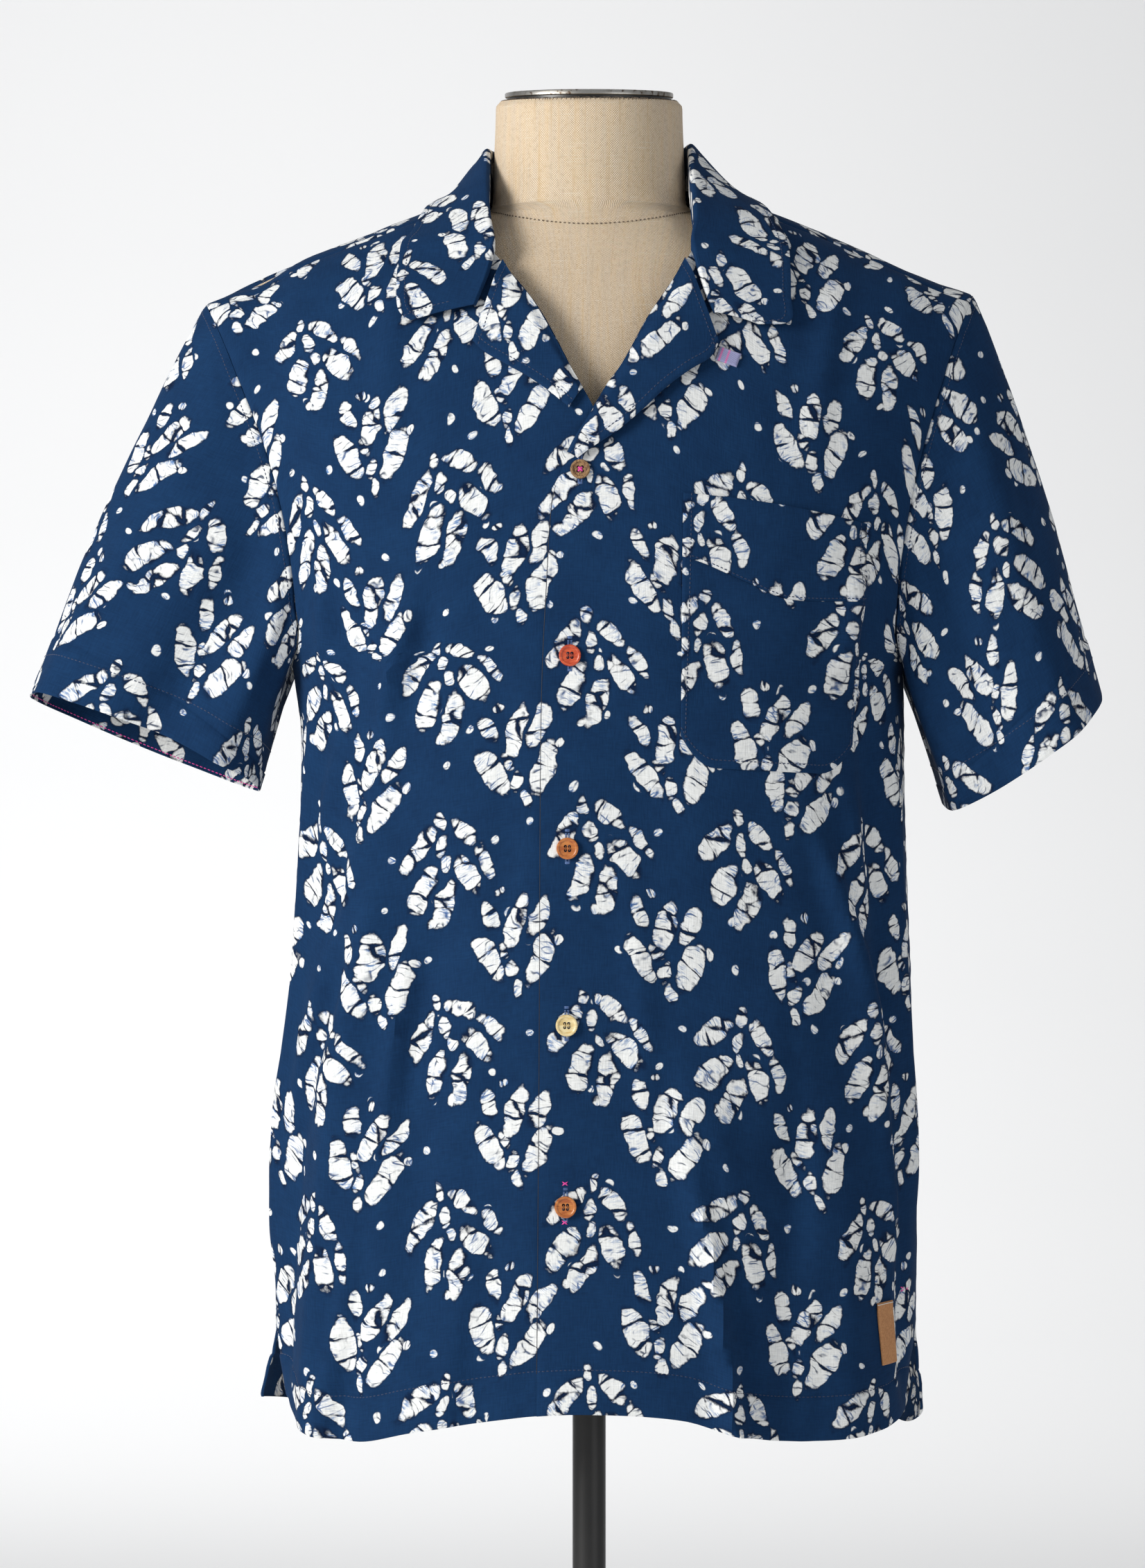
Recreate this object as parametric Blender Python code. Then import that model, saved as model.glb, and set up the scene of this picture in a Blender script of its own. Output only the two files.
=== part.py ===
"""A short-sleeve camp-collar shirt, filled out on a limbless dress form that stands on a round base.

World frame: metres, +Z up, the shirt faces -Y, and the origin is the middle of the base's underside.
Sizes below are in millimetres. Garment heights are measured from DATUM, a level across the chest.

Places on the shirt's body are given by two numbers. turn is the angle round the body in degrees: 0 at the
front centre, +90 at the side seam on +X and 180 at the back centre. rise runs up a panel: -1 at the hem,
0 at the underarm and +1 on the ridge of the shoulder.
"""

from collections import namedtuple
from math import asin, cos, degrees, exp, hypot, pi, radians, sin, tan

import bmesh
import bpy
from mathutils import Vector

MM = 0.001
DATUM = 1130.0  # height of the chest level above the floor

CLOTH = 1.2  # wall of a single panel
COLLAR_CLOTH = 1.4  # wall of the collar and lapels, which are faced
SEAM_GAP = 0.4  # between two pieces that are sewn edge to edge
SIDE_GAP = 0.06  # half the side seam's gap, in degrees of turn
LAY_GAP = 0.5  # between a panel and what lies on it

UNDERARM = 66.0  # height of the underarm point
SQUARENESS = 2.2  # exponent of the body's rounded-square sections
BEND = 2.0 / SQUARENESS
LAP_END, LAP_FADE = 40.0, 35.0  # x at which the lapping front starts to settle, and over how much
RIDGE_REACH = 250.0  # half width to which the shoulder ridge would run

# The shirt's level sections: half widths to each side, and depths to the front and the back.
Section = namedtuple("Section", "height left right front back")
BODY = [
    Section(-400, 184, 194, 120, 122),
    Section(-315, 187, 195, 119, 121),
    Section(-260, 187.5, 196, 119, 120),
    Section(-200, 186.5, 195, 120, 119),
    Section(-140, 179.5, 192, 122, 118),
    Section(-80, 176, 190, 124, 117),
    Section(-20, 173, 188.5, 126, 116),
    Section(30, 172, 187.5, 127, 115),
    Section(66, 176, 186.5, 127, 114),
]

# The armhole: its turn from the front or the back centre, at a rise.
Armhole = namedtuple("Armhole", "rise turn")
ARMHOLE = [
    Armhole(0, 90),
    Armhole(0.03, 71.5),
    Armhole(0.09, 66),
    Armhole(0.18, 62.7),
    Armhole(0.29, 61.2),
    Armhole(0.40, 61.5),
    Armhole(0.50, 62.3),
    Armhole(0.60, 63),
    Armhole(0.80, 65),
    Armhole(1, 66),
]

# The shoulder ridge: its height at a distance from the middle, on each side.
Ridge = namedtuple("Ridge", "distance left right")
RIDGE = [
    Ridge(0, 371, 371),
    Ridge(35, 366, 367),
    Ridge(66, 355, 357),
    Ridge(94, 343.5, 347.5),
    Ridge(133, 328.5, 333),
    Ridge(170, 314, 316.5),
    Ridge(208, 297, 300),
    Ridge(230, 287, 292),
    Ridge(255, 277, 281),
]

# The opening edge of each front: its x at a height, up the button edge and the roll of the lapel.
Edge = namedtuple("Edge", "height x")
LAPPING_EDGE = [
    Edge(-400, -31),
    Edge(-200, -29),
    Edge(0, -28),
    Edge(64, -27),
    Edge(117, -24.5),
    Edge(152, -22.5),
    Edge(170, -20),
    Edge(193, -11.5),
    Edge(218, 2),
    Edge(244, 19),
    Edge(271, 33.5),
    Edge(307, 57),
    Edge(318, 62.5),
    Edge(330, 65),
    Edge(352, 66),
]
LAPPED_EDGE = [
    Edge(-400, 17),
    Edge(150, 17),
    Edge(190, 13),
    Edge(218, 2),
    Edge(240, -10),
    Edge(260, -20),
    Edge(280, -31.5),
    Edge(307, -52.5),
    Edge(318, -60.5),
    Edge(330, -63.5),
    Edge(352, -66),
]

# The hem's height at a turn: it swings low in front of each side seam.
Hem = namedtuple("Hem", "turn height")
HEM_LINE = [
    Hem(-180, -378),
    Hem(-135, -382),
    Hem(-90, -368),
    Hem(-78, -366),
    Hem(-62, -380),
    Hem(-45, -384),
    Hem(-32, -377),
    Hem(-10, -366),
    Hem(0, -364),
    Hem(14, -368),
    Hem(24, -378),
    Hem(40, -383),
    Hem(60, -380),
    Hem(76, -373),
    Hem(90, -378),
    Hem(102, -387),
    Hem(135, -384),
    Hem(180, -378),
]

# The largest folds of the body. A ridge stands out and a trough, with a negative depth, falls in.
Fold = namedtuple("Fold", "top_turn top bottom_turn bottom width depth")
BODY_FOLDS = [
    Fold(-34, 130, -53, -160, 15, 5.0),
    Fold(-42, -30, -62, -400, 16, 6.5),
    Fold(-29, -40, -31, -300, 19, -5.0),
    Fold(-50, -20, -74, -330, 13, -5.0),
    Fold(-68, 60, -80, -250, 11, 5.0),
    Fold(-18, -180, -20, -420, 22, -3.5),
    Fold(-60, 100, -50, 300, 17, -3.5),
    Fold(43, -10, 64, -240, 13, 5.5),
    Fold(56, 70, 72, -330, 12, -5.0),
    Fold(70, 40, 78, -220, 10, 4.0),
    Fold(16, -150, 27, -420, 14, 7.0),
    Fold(34, -170, 37, -400, 19, -6.5),
    Fold(48, -210, 50, -420, 20, 3.5),
    Fold(8, 60, 12, -260, 26, -3.0),
    Fold(150, 150, 138, -400, 18, 7.0),
    Fold(128, 60, 122, -400, 16, -6.0),
    Fold(172, 40, 166, -400, 22, -5.0),
    Fold(-152, 150, -140, -400, 18, 7.0),
    Fold(-130, 60, -124, -400, 16, -6.0),
    Fold(-168, 20, -165, -400, 20, 4.5),
    Fold(-112, 0, -110, -400, 15, 4.0),
    Fold(112, 0, 110, -400, 15, 4.0),
]
FOLD_FADE = 55.0  # length over which a fold dies out at its upper end
VENT_TOP = -318.0
FRONT_VENT_TUCK = 7.0  # how far the front's vent corner swings in
BACK_VENT_FLARES = {"left": 12.0, "right": 5.0}  # how far the back's vent corners swing out

SHOULDER_SEAM_RISE = 0.86  # the shoulder seam lies a little in front of the ridge
NECK_SIDE, NECK_BACK, NECK_MIDDLE = 66.0, 73.6, -4.0  # the neckline's half width, depth and centre

# Rows of the panels' grids: as rises, and for the back's upper part as the way over the shoulder.
LOWER_ROWS = [-1.0 + i / 13 for i in range(13)]
FRONT_ROWS = [0.0, 0.03, 0.07, 0.12, 0.19, 0.27, 0.36, 0.46, 0.56, 0.66, 0.76, SHOULDER_SEAM_RISE]
OVER_ROWS = [1.0, 0.97, 0.93, 0.88, 0.81, 0.73, 0.64, 0.54, 0.44, 0.34, 0.24, 0.15, 0.07, 0.0, -0.07, -0.138]
FRONT_COLUMNS = 17
SHOULDER_COLUMNS, NECK_COLUMNS = 8, 10

# Sleeves: the opening's outer and inner corner and how far its front and back stand off their chord.
Cuff = namedtuple("Cuff", "side outer inner front front_up back back_up")
CUFFS = [
    Cuff("right", (-336, 52), (-198, -4), 50, 10, 50, -4),
    Cuff("left", (308, 53), (213, -13), 60, -11, 56, 6),
]
SleeveFold = namedtuple("SleeveFold", "side top_share bottom_share width depth")
SLEEVE_FOLDS = [
    SleeveFold("right", 0.14, 0.10, 0.035, 4.0),
    SleeveFold("right", 0.27, 0.27, 0.045, -9.0),
    SleeveFold("right", 0.35, 0.36, 0.03, 6.0),
    SleeveFold("right", 0.68, 0.70, 0.05, -6.0),
    SleeveFold("right", 0.84, 0.86, 0.05, 4.0),
    SleeveFold("left", 0.12, 0.17, 0.04, 4.5),
    SleeveFold("left", 0.24, 0.30, 0.05, -6.0),
    SleeveFold("left", 0.38, 0.40, 0.04, 4.0),
    SleeveFold("left", 0.68, 0.70, 0.05, -6.0),
    SleeveFold("left", 0.84, 0.86, 0.05, 4.0),
]
SLEEVE_ROWS = 8
CUFF_MIDDLE = 2.0  # y of the cuffs' middles
SLEEVE_BULGE = 5.0

# Collar stations from the front end to the back centre: the inner line (gorge, then roll), how far the stand
# drops from it, and the outer edge. A y of None is taken from the front's surface.
Station = namedtuple("Station", "x y height stand edge_x edge_y edge_height")
COLLAR_RIGHT = [
    Station(-66, None, 277, 2.4, -102, None, 267),
    Station(-62, None, 287, 2.4, -109, None, 273),
    Station(-58.5, None, 296, 2.4, -110, None, 290),
    Station(-56, None, 307, 3, -109.5, None, 303),
    Station(-56, -79, 321, 8, -108, None, 314),
    Station(-58.5, -67, 335, 14, -105, -49, 326),
    Station(-59.8, -50, 350, 20, -99, -31, 338),
    Station(-59.8, -28, 366, 17, -94, -14, 343),
    Station(-59.6, -4, 380, 24, -90, 5, 342),
    Station(-57.6, 12, 381.5, 29, -86, 23, 341),
    Station(-53.5, 27, 382, 33, -79, 40, 335),
    Station(-38.8, 49, 381, 43, -61, 67, 321),
    Station(-18.6, 62, 379, 53, -32, 84, 311),
]
COLLAR_LEFT = [
    Station(72, None, 272, 2.4, 97, None, 266),
    Station(68, None, 281, 2.4, 115.5, None, 268),
    Station(63.5, None, 295, 2.4, 116, None, 283),
    Station(60.5, None, 307, 3, 116, None, 299),
    Station(60, -79, 321, 8, 115, None, 314),
    Station(62, -67, 335, 14, 112.5, -50, 330),
    Station(61.3, -50, 351, 20, 107, -33, 341),
    Station(60, -28, 368, 18, 101, -15, 346),
    Station(59.5, -4, 383, 26, 94, 5, 346),
    Station(57.4, 12, 384, 30, 89, 23, 344),
    Station(53.5, 27, 384, 34, 81, 40, 337),
    Station(38.8, 49, 382, 43, 61, 67, 321),
    Station(18.6, 62, 379, 53, 32, 84, 311),
]
COLLAR_BACK = Station(0, 65.5, 378, 56, 0, 90, 307)
COLLAR_LIFT = 6.5  # of the roll off the front
COLLAR_EDGE_LIFT = 4.8
FALL_STEPS = 6
FALL_BOW = 1.4
COLLAR_BEND, COLLAR_BEND_LYING = 2.3, 1.3

# Lapels: points of the roll and of the free edge that face each other, from the gorge to the first button.
Facing = namedtuple("Facing", "roll_x roll_height edge_x edge_height")
LAPEL_RIGHT = [
    Facing(-50.5, 306, -67.5, 257),
    Facing(-44, 295, -61, 250.5),
    Facing(-33, 281, -48.5, 243),
    Facing(-21.5, 261, -35, 235),
    Facing(-12, 243, -23, 226.5),
    Facing(-4, 229, -12, 217),
]
LAPEL_LEFT = [
    Facing(55, 306, 74, 255),
    Facing(47, 291, 69, 246),
    Facing(34.5, 272, 58, 239),
    Facing(20, 245, 44, 228.5),
    Facing(9, 229, 31, 216),
    Facing(0.5, 214, 16, 203),
    Facing(-8.5, 200, 1, 193),
    Facing(-13, 191, -7, 187),
]
LAPEL_STEPS = 5
RIGHT_LAPEL_LIFT, LEFT_LAPEL_LIFT = (2.6, 1.6), (3.4, 3.2)  # past the roll and at the free edge

# The chest pocket on the wearer's left: its corners, x and height.
POCKET_TOP_IN, POCKET_TOP_OUT = (53.5, 168), (161, 152)
POCKET_FOOT_IN, POCKET_FOOT_OUT = (50, 10), (155, 5)
POCKET_CORNER = 24.0
POCKET_STEPS = 8
POCKET_LIFT = 0.9
POCKET_TOP_RISE = 2.0
Seam = namedtuple("Seam", "x height")
BAND_SEAM = [Seam(50, 132), Seam(66, 127), Seam(91, 116), Seam(114, 107), Seam(162, 107)]

# Buttons down the front: height, diameter and x of each.
Button = namedtuple("Button", "x height diameter")
BUTTONS = [
    Button(-5.5, 181, 11.4),
    Button(-11.4, 74, 12.7),
    Button(-12.8, -37, 12.7),
    Button(-13.2, -139, 12.7),
    Button(-13.9, -244, 12.7),
]
BUTTON_THICK = 2.2
BUTTON_LIFT = 0.4
BUTTON_SIDES = 18

TAB_CENTRE = (173.0, -323.0)  # leather tab near the hem on the wearer's left
TAB_SIZE = (10.0, 37.0)
TAB_LEAN = 5.0  # degrees
LOOP_CENTRE = (80.0, 247.5)  # ribbon loop at the left lapel's corner
LOOP_SIZE = (13.0, 8.0)
LOOP_LEAN = -20.0

# The dress form.
FORM_GAP = 0.8  # between the form's shoulder and the shirt
FORM_BOTTOM = -300.0
FormSection = namedtuple("FormSection", "height half_width front back")
FORM = [
    FormSection(-300, 150, 92, 94),
    FormSection(-280, 156, 98, 101),
    FormSection(-200, 160, 100, 104),
    FormSection(-80, 138, 90, 90),
    FormSection(0, 150, 104, 96),
    FormSection(66, 162, 114, 102),
]
FORM_RIDGE_REACH = 213.0
FORM_HEIGHTS = [-300, -292, -250, -180, -110, -40, 66, 120, 170, 210, 245, 270, 287, 299, 307, 315, 323, 331]
FORM_HEIGHTS += [339, 346, 354, 365, 388, 410]
NECK_TOP = 410.0
NECK_SLOPE = tan(radians(5))  # the neck's top slopes down to the front
NECK_SLOPE_FROM = 365.0
NECK_CLEAR = 352.0  # height from which only the neck is left
NECK_UNION = 14  # exponent that blends the neck into the torso
NECK_SINK, NECK_SINK_REACH = 14.0, 45.0  # how far the form's shoulder falls below the shirt near the neck
FIT_GAP = 0.3
NECK_HALF_WIDTH, NECK_HALF_DEPTH = 56.5, 57.0
FORM_SPOKES = 40
CAP_RADIUS, CAP_THICK, CAP_STEP = 51.3, 4.2, 2.0
POLE_RADIUS = 10.0
BASE_RADIUS, BASE_THICK = 170.0, 8.0
HUB_RADIUS, HUB_TOP = 22.0, 26.0

NAVY = (0.012, 0.055, 0.145)
Finish = namedtuple("Finish", "colour roughness metallic")
FINISHES = {
    "shirt_cotton": Finish(NAVY, 0.85, 0.0),
    "linen": Finish((0.50, 0.40, 0.27), 0.9, 0.0),
    "steel": Finish((0.45, 0.44, 0.42), 0.3, 1.0),
    "black_enamel": Finish((0.012, 0.012, 0.014), 0.35, 0.0),
    "button_red": Finish((0.55, 0.09, 0.03), 0.35, 0.0),
    "button_tan": Finish((0.44, 0.17, 0.04), 0.35, 0.0),
    "button_cream": Finish((0.75, 0.56, 0.25), 0.35, 0.0),
    "coconut": Finish((0.24, 0.13, 0.05), 0.6, 0.0),
    "leather": Finish((0.50, 0.23, 0.09), 0.6, 0.0),
    "ribbon": Finish((0.45, 0.35, 0.62), 0.7, 0.0),
}


def ease(t):
    """0 to 1, smoothly, as t goes from 0 to 1."""
    t = min(1.0, max(0.0, t))
    return t * t * (3 - 2 * t)


def mix(a, b, t):
    return a + (b - a) * t


def read(table, key, column, at):
    """A table's column at a key, on a smooth curve through its rows."""
    keys = [getattr(row, key) for row in table]
    values = [getattr(row, column) for row in table]
    at = min(keys[-1], max(keys[0], at))
    i = max(k for k in range(len(keys) - 1) if keys[k] <= at)

    def slope(k):
        low, high = max(k - 1, 0), min(k + 1, len(keys) - 1)
        return (values[high] - values[low]) / (keys[high] - keys[low])

    span = keys[i + 1] - keys[i]
    t = (at - keys[i]) / span
    return (
        values[i] * (1 + 2 * t) * (1 - t) ** 2
        + values[i + 1] * t * t * (3 - 2 * t)
        + slope(i) * span * t * (1 - t) ** 2
        - slope(i + 1) * span * t * t * (1 - t)
    )


def ridge_height(x):
    return read(RIDGE, "distance", "left" if x < 0 else "right", abs(x))


def hem_height(turn):
    return read(HEM_LINE, "turn", "height", turn)


def side_of(turn):
    return "left" if turn < 0 else "right"


def half_width(turn, rise):
    """The section's half width towards the side that turn faces, at a rise from the underarm up."""
    low = read(BODY, "height", side_of(turn), UNDERARM)
    return mix(low, RIDGE_REACH, sin(radians(90 * rise)) ** BEND)


def bare_point(turn, rise):
    """The shirt's body before its folds, in millimetres, with z from the floor."""
    across, along = sin(radians(turn)), cos(radians(turn))
    s = abs(across) ** BEND * (1 if across > 0 else -1)
    c = abs(along) ** BEND
    depth, sign = ("front", -1) if along >= 0 else ("back", 1)
    if rise <= 0:
        height = UNDERARM + rise * (UNDERARM - hem_height(turn))
        x = read(BODY, "height", side_of(turn), height) * s
        y = sign * read(BODY, "height", depth, height) * c
    else:
        climb = sin(radians(90 * rise)) ** BEND
        x = half_width(turn, rise) * s
        y = sign * read(BODY, "height", depth, UNDERARM) * c * abs(cos(radians(90 * rise))) ** BEND
        height = UNDERARM + (ridge_height(x) - UNDERARM) * climb
    return Vector((x, y, DATUM + height))


def outward(turn, rise):
    """The body's outward normal, from points a little way off."""
    step_turn, step_rise = 0.6, 0.006
    low_rise = max(rise - step_rise, -1.0) if rise != 0 else 0.0
    high_rise = min(rise + step_rise, 0.999)
    round_body = bare_point(turn + step_turn, rise) - bare_point(turn - step_turn, rise)
    up_body = bare_point(turn, high_rise) - bare_point(turn, low_rise)
    normal = round_body.cross(up_body)
    if normal.length < 1e-9:
        return Vector((0, 0, 1))
    normal.normalize()
    return normal


def fold_lift(turn, height):
    """How far the folds push the cloth out at a place on the body."""
    total = 0.0
    per_degree = 3.1  # millimetres of cloth for each degree of turn, about
    for fold in BODY_FOLDS:
        t = (height - fold.top) / (fold.bottom - fold.top)
        if t <= 0:
            fade = 0.0
        else:
            fade = ease(abs(height - fold.top) / FOLD_FADE)
        if t > 1:
            fade *= 1 - ease(abs(height - fold.bottom) / FOLD_FADE)
        off = (turn - mix(fold.top_turn, fold.bottom_turn, t)) * per_degree
        total += fold.depth * fade * exp(-((off / fold.width) ** 2))
    return total


def vent_shift(turn, height, back):
    """Swings the vent's corners: the front's in and the back's out."""
    drop = ease((VENT_TOP - height) / 60.0)
    near_side = ease(1 - abs(90 - abs(turn)) / 22.0)
    return drop * near_side * (BACK_VENT_FLARES[side_of(turn)] if back else -FRONT_VENT_TUCK)


def cloth_point(turn, rise, lift=0.0, back=None):
    """A point of the shirt's body with its folds, lift millimetres out from its inner face."""
    base = bare_point(turn, rise)
    height = base.z - DATUM
    if back is None:
        back = abs(turn) > 90
    fold = fold_lift(turn, height)
    if back is not None:
        fold += vent_shift(turn, height, back)
    return base + outward(turn, rise) * (fold + lift)


def rise_of(x, height):
    """The rise at which the upper body reaches a height, over a given x."""
    climb = (height - UNDERARM) / (ridge_height(x) - UNDERARM)
    return degrees(asin(min(1.0, max(0.0, climb)) ** (1 / BEND))) / 90


def turn_of(x, reach):
    share = min(1.0, abs(x) / reach)
    return degrees(asin(share ** (1 / BEND))) * (1 if x >= 0 else -1)


def front_place(x, height):
    """The turn and rise of a place on the front, from its x and height as seen from the front."""
    facing = 1 if x >= 0 else -1
    if height >= UNDERARM:
        rise = rise_of(x, height)
        return turn_of(x, half_width(facing, rise)), rise
    turn = turn_of(x, read(BODY, "height", side_of(facing), height))
    return turn, (height - UNDERARM) / (UNDERARM - hem_height(turn))


def front_point(x, height, lift, lapping=True):
    """A point over a front, lift millimetres out from that front's inner face."""
    turn, rise = front_place(x, height)
    return cloth_point(turn, rise, lift + (lap_lift(x) if lapping else 0.0))


def lap_lift(x):
    """The lapping front passes over the other one, and lies back on the body beyond it."""
    return (CLOTH + LAY_GAP) * (1 - ease((x - LAP_END) / LAP_FADE))


def armhole_turn(rise):
    """The turn of the armhole at a rise, measured from the front or the back centre."""
    return read(ARMHOLE, "rise", "turn", rise)


def edge_turn(edge, rise):
    """The turn at which a front's opening edge crosses a rise."""
    x = read(edge, "height", "x", UNDERARM)
    for _ in range(12):
        facing = 1 if x >= 0 else -1
        if rise > 0:
            height = UNDERARM + (ridge_height(x) - UNDERARM) * sin(radians(90 * rise)) ** BEND
            reach = half_width(facing, rise)
        else:
            height = UNDERARM + rise * (UNDERARM - hem_height(0))
            reach = read(BODY, "height", side_of(facing), height)
        x = read(edge, "height", "x", height)
    return turn_of(x, reach)


# Making objects


def material(name):
    found = bpy.data.materials.get(name)
    if found:
        return found
    finish = FINISHES[name]
    made = bpy.data.materials.new(name)
    made.use_nodes = True
    shader = made.node_tree.nodes["Principled BSDF"]
    shader.inputs["Base Color"].default_value = (*finish.colour, 1)
    shader.inputs["Roughness"].default_value = finish.roughness
    shader.inputs["Metallic"].default_value = finish.metallic
    made.diffuse_color = (*finish.colour, 1)
    return made


def add_object(name, bm, finish, smooth=True):
    bmesh.ops.recalc_face_normals(bm, faces=bm.faces)
    mesh = bpy.data.meshes.new(name)
    bm.to_mesh(mesh)
    bm.free()
    mesh.materials.append(material(finish))
    if smooth:
        mesh.shade_smooth()
        mesh.set_sharp_from_angle(angle=radians(50))
    obj = bpy.data.objects.new(name, mesh)
    bpy.context.scene.collection.objects.link(obj)
    return obj


def wall(name, outer, inner, finish, ring=False):
    """A closed wall between two grids of points, row by row. A ring joins each row's ends."""
    bm = bmesh.new()
    grids = [[[bm.verts.new(p * MM) for p in row] for row in grid] for grid in (outer, inner)]
    rows, columns = len(outer), len(outer[0])
    steps = range(columns if ring else columns - 1)
    for grid in grids:
        for j in range(rows - 1):
            for i in steps:
                k = (i + 1) % columns
                bm.faces.new((grid[j][i], grid[j][k], grid[j + 1][k], grid[j + 1][i]))
    front, rear = grids
    for j in (0, rows - 1):
        for i in steps:
            k = (i + 1) % columns
            bm.faces.new((front[j][i], front[j][k], rear[j][k], rear[j][i]))
    if not ring:
        for i in (0, columns - 1):
            for j in range(rows - 1):
                bm.faces.new((front[j][i], front[j + 1][i], rear[j + 1][i], rear[j][i]))
    return add_object(name, bm, finish)


def turned(name, profile, finish, segments=40, slope=0.0):
    """A solid turned about the pole's axis, from (radius, height) pairs that start and end on it.

    slope shears it, so that its levels rise to the back.
    """
    bm = bmesh.new()
    rings = []
    for radius, height in profile:
        if radius == 0:
            rings.append([bm.verts.new(Vector((0, 0, height)) * MM)])
            continue
        ring = []
        for i in range(segments):
            angle = 2 * pi * i / segments
            x, y = radius * cos(angle), radius * sin(angle)
            ring.append(bm.verts.new(Vector((x, y, height + slope * y)) * MM))
        rings.append(ring)
    for low, high in zip(rings, rings[1:]):
        for i in range(segments):
            k = (i + 1) % segments
            if len(low) == 1:
                bm.faces.new((low[0], high[i], high[k]))
            elif len(high) == 1:
                bm.faces.new((low[i], low[k], high[0]))
            else:
                bm.faces.new((low[i], low[k], high[k], high[i]))
    return add_object(name, bm, finish)


# The shirt's panels


def front_panel(name, edge, side, lapping):
    """One front, from its opening edge to the side seam and the armhole, up to the yoke's seam."""
    outer, inner = [], []
    for rise in LOWER_ROWS + FRONT_ROWS:
        start = edge_turn(edge, rise)
        end = side * (armhole_turn(rise) if rise > 0 else 90.0)
        if abs(end) == 90.0:
            end -= side * SIDE_GAP
        rows = [], []
        for i in range(FRONT_COLUMNS + 1):
            turn = mix(start, end, i / FRONT_COLUMNS)
            x = bare_point(turn, rise).x
            lap = lap_lift(x) if lapping else 0.0
            rows[0].append(cloth_point(turn, rise, lap + CLOTH, back=False))
            rows[1].append(cloth_point(turn, rise, lap, back=False))
        outer.append(rows[0])
        inner.append(rows[1])
    return wall(name, outer, inner, "shirt_cotton")


def over_point(x, over, lift):
    """A point by its x and its way over the shoulder: -1 at the front underarm, 0 on the ridge."""
    rise = 1 - abs(over)
    facing = 1 if x >= 0 else -1
    turn = turn_of(x, half_width(facing, rise))
    if over > 0:
        turn = (180 if x >= 0 else -180) - turn
    if abs(over) > 0.02:
        return cloth_point(turn, rise, lift, back=over > 0)
    along = bare_point(turn_of(x + 1, RIDGE_REACH), 1) - bare_point(turn_of(x - 1, RIDGE_REACH), 1)
    return bare_point(turn, rise) + Vector((-along.z, 0, along.x)).normalized() * lift


def over_at(x, y):
    """The way over the shoulder at which the upper body passes over a place in plan."""
    facing = 1 if x >= 0 else -1
    low, high = 0.0, 1.0
    for _ in range(30):
        middle = (low + high) / 2
        rise = 1 - middle
        turn = turn_of(x, half_width(facing, rise))
        if y > 0:
            turn = 180 - turn
        if abs(bare_point(turn, rise).y) < abs(y):
            low = middle
        else:
            high = middle
    return low if y > 0 else -low


def neckline(angle):
    """The neckline in plan: angle 0 is its +X side and 90 the back centre."""
    across = cos(radians(angle))
    if sin(radians(angle)) < 0:
        across = 1 if across > 0 else -1
    return NECK_SIDE * across, NECK_MIDDLE + NECK_BACK * sin(radians(angle))


def armhole_x(side, over):
    rise = 1 - abs(over)
    return half_width(side, rise) * sin(radians(armhole_turn(rise))) ** BEND * side


def back_columns():
    """The back's columns from -X to +X: each one's share of the width below, and how its top edge ends."""
    total = 2 * SHOULDER_COLUMNS + NECK_COLUMNS
    seam = OVER_ROWS[-1]
    corner = degrees(asin((over_depth(seam) - NECK_MIDDLE) / NECK_BACK))
    columns = []
    for i in range(total + 1):
        share = 2 * i / total - 1
        if SHOULDER_COLUMNS <= i <= SHOULDER_COLUMNS + NECK_COLUMNS:
            part = (i - SHOULDER_COLUMNS) / NECK_COLUMNS
            x, y = neckline(mix(180 - corner, corner, part))
            columns.append((share, x, over_at(x, y)))
        else:
            side = -1 if share < 0 else 1
            part = i / SHOULDER_COLUMNS if side < 0 else (total - i) / SHOULDER_COLUMNS
            columns.append((share, mix(armhole_x(side, seam), side * NECK_SIDE, part), seam))
    return columns


def over_depth(over):
    """The y at which the neck side lies at a way over the shoulder."""
    return bare_point(turn_of(NECK_SIDE, half_width(1, 1 - abs(over))), 1 - abs(over)).y


def back_panel():
    """The back, from the hem up over both shoulders to the shoulder seams, and round the neck."""
    outer, inner = [], []
    columns = back_columns()
    for rise in LOWER_ROWS:
        rows = [], []
        for share, _, _ in columns:
            from_centre = share * 90.0
            if abs(share) == 1:
                from_centre -= share * SIDE_GAP
            turn = (180 if share >= 0 else -180) - from_centre
            rows[0].append(cloth_point(turn, rise, CLOTH, back=True))
            rows[1].append(cloth_point(turn, rise, 0.0, back=True))
        outer.append(rows[0])
        inner.append(rows[1])
    for step in OVER_ROWS:
        part = (1 - step) / (1 - OVER_ROWS[-1])
        rows = [], []
        for share, top_x, top_over in columns:
            over = mix(1.0, top_over, part)
            side = -1 if share < 0 else 1
            low_x = armhole_x(side, over) * mix(sin(radians(90 * abs(share))) ** BEND, abs(share), part)
            top_share = abs(top_x / armhole_x(side, top_over))
            x = mix(low_x, armhole_x(side, over) * top_share, ease(part))
            if abs(share) == 1 and step == OVER_ROWS[0]:
                x -= side * SIDE_GAP
            rows[0].append(over_point(x, over, CLOTH))
            rows[1].append(over_point(x, over, 0.0))
        outer.append(rows[0])
        inner.append(rows[1])
    return wall("back", outer, inner, "shirt_cotton")


# Sleeves


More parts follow.
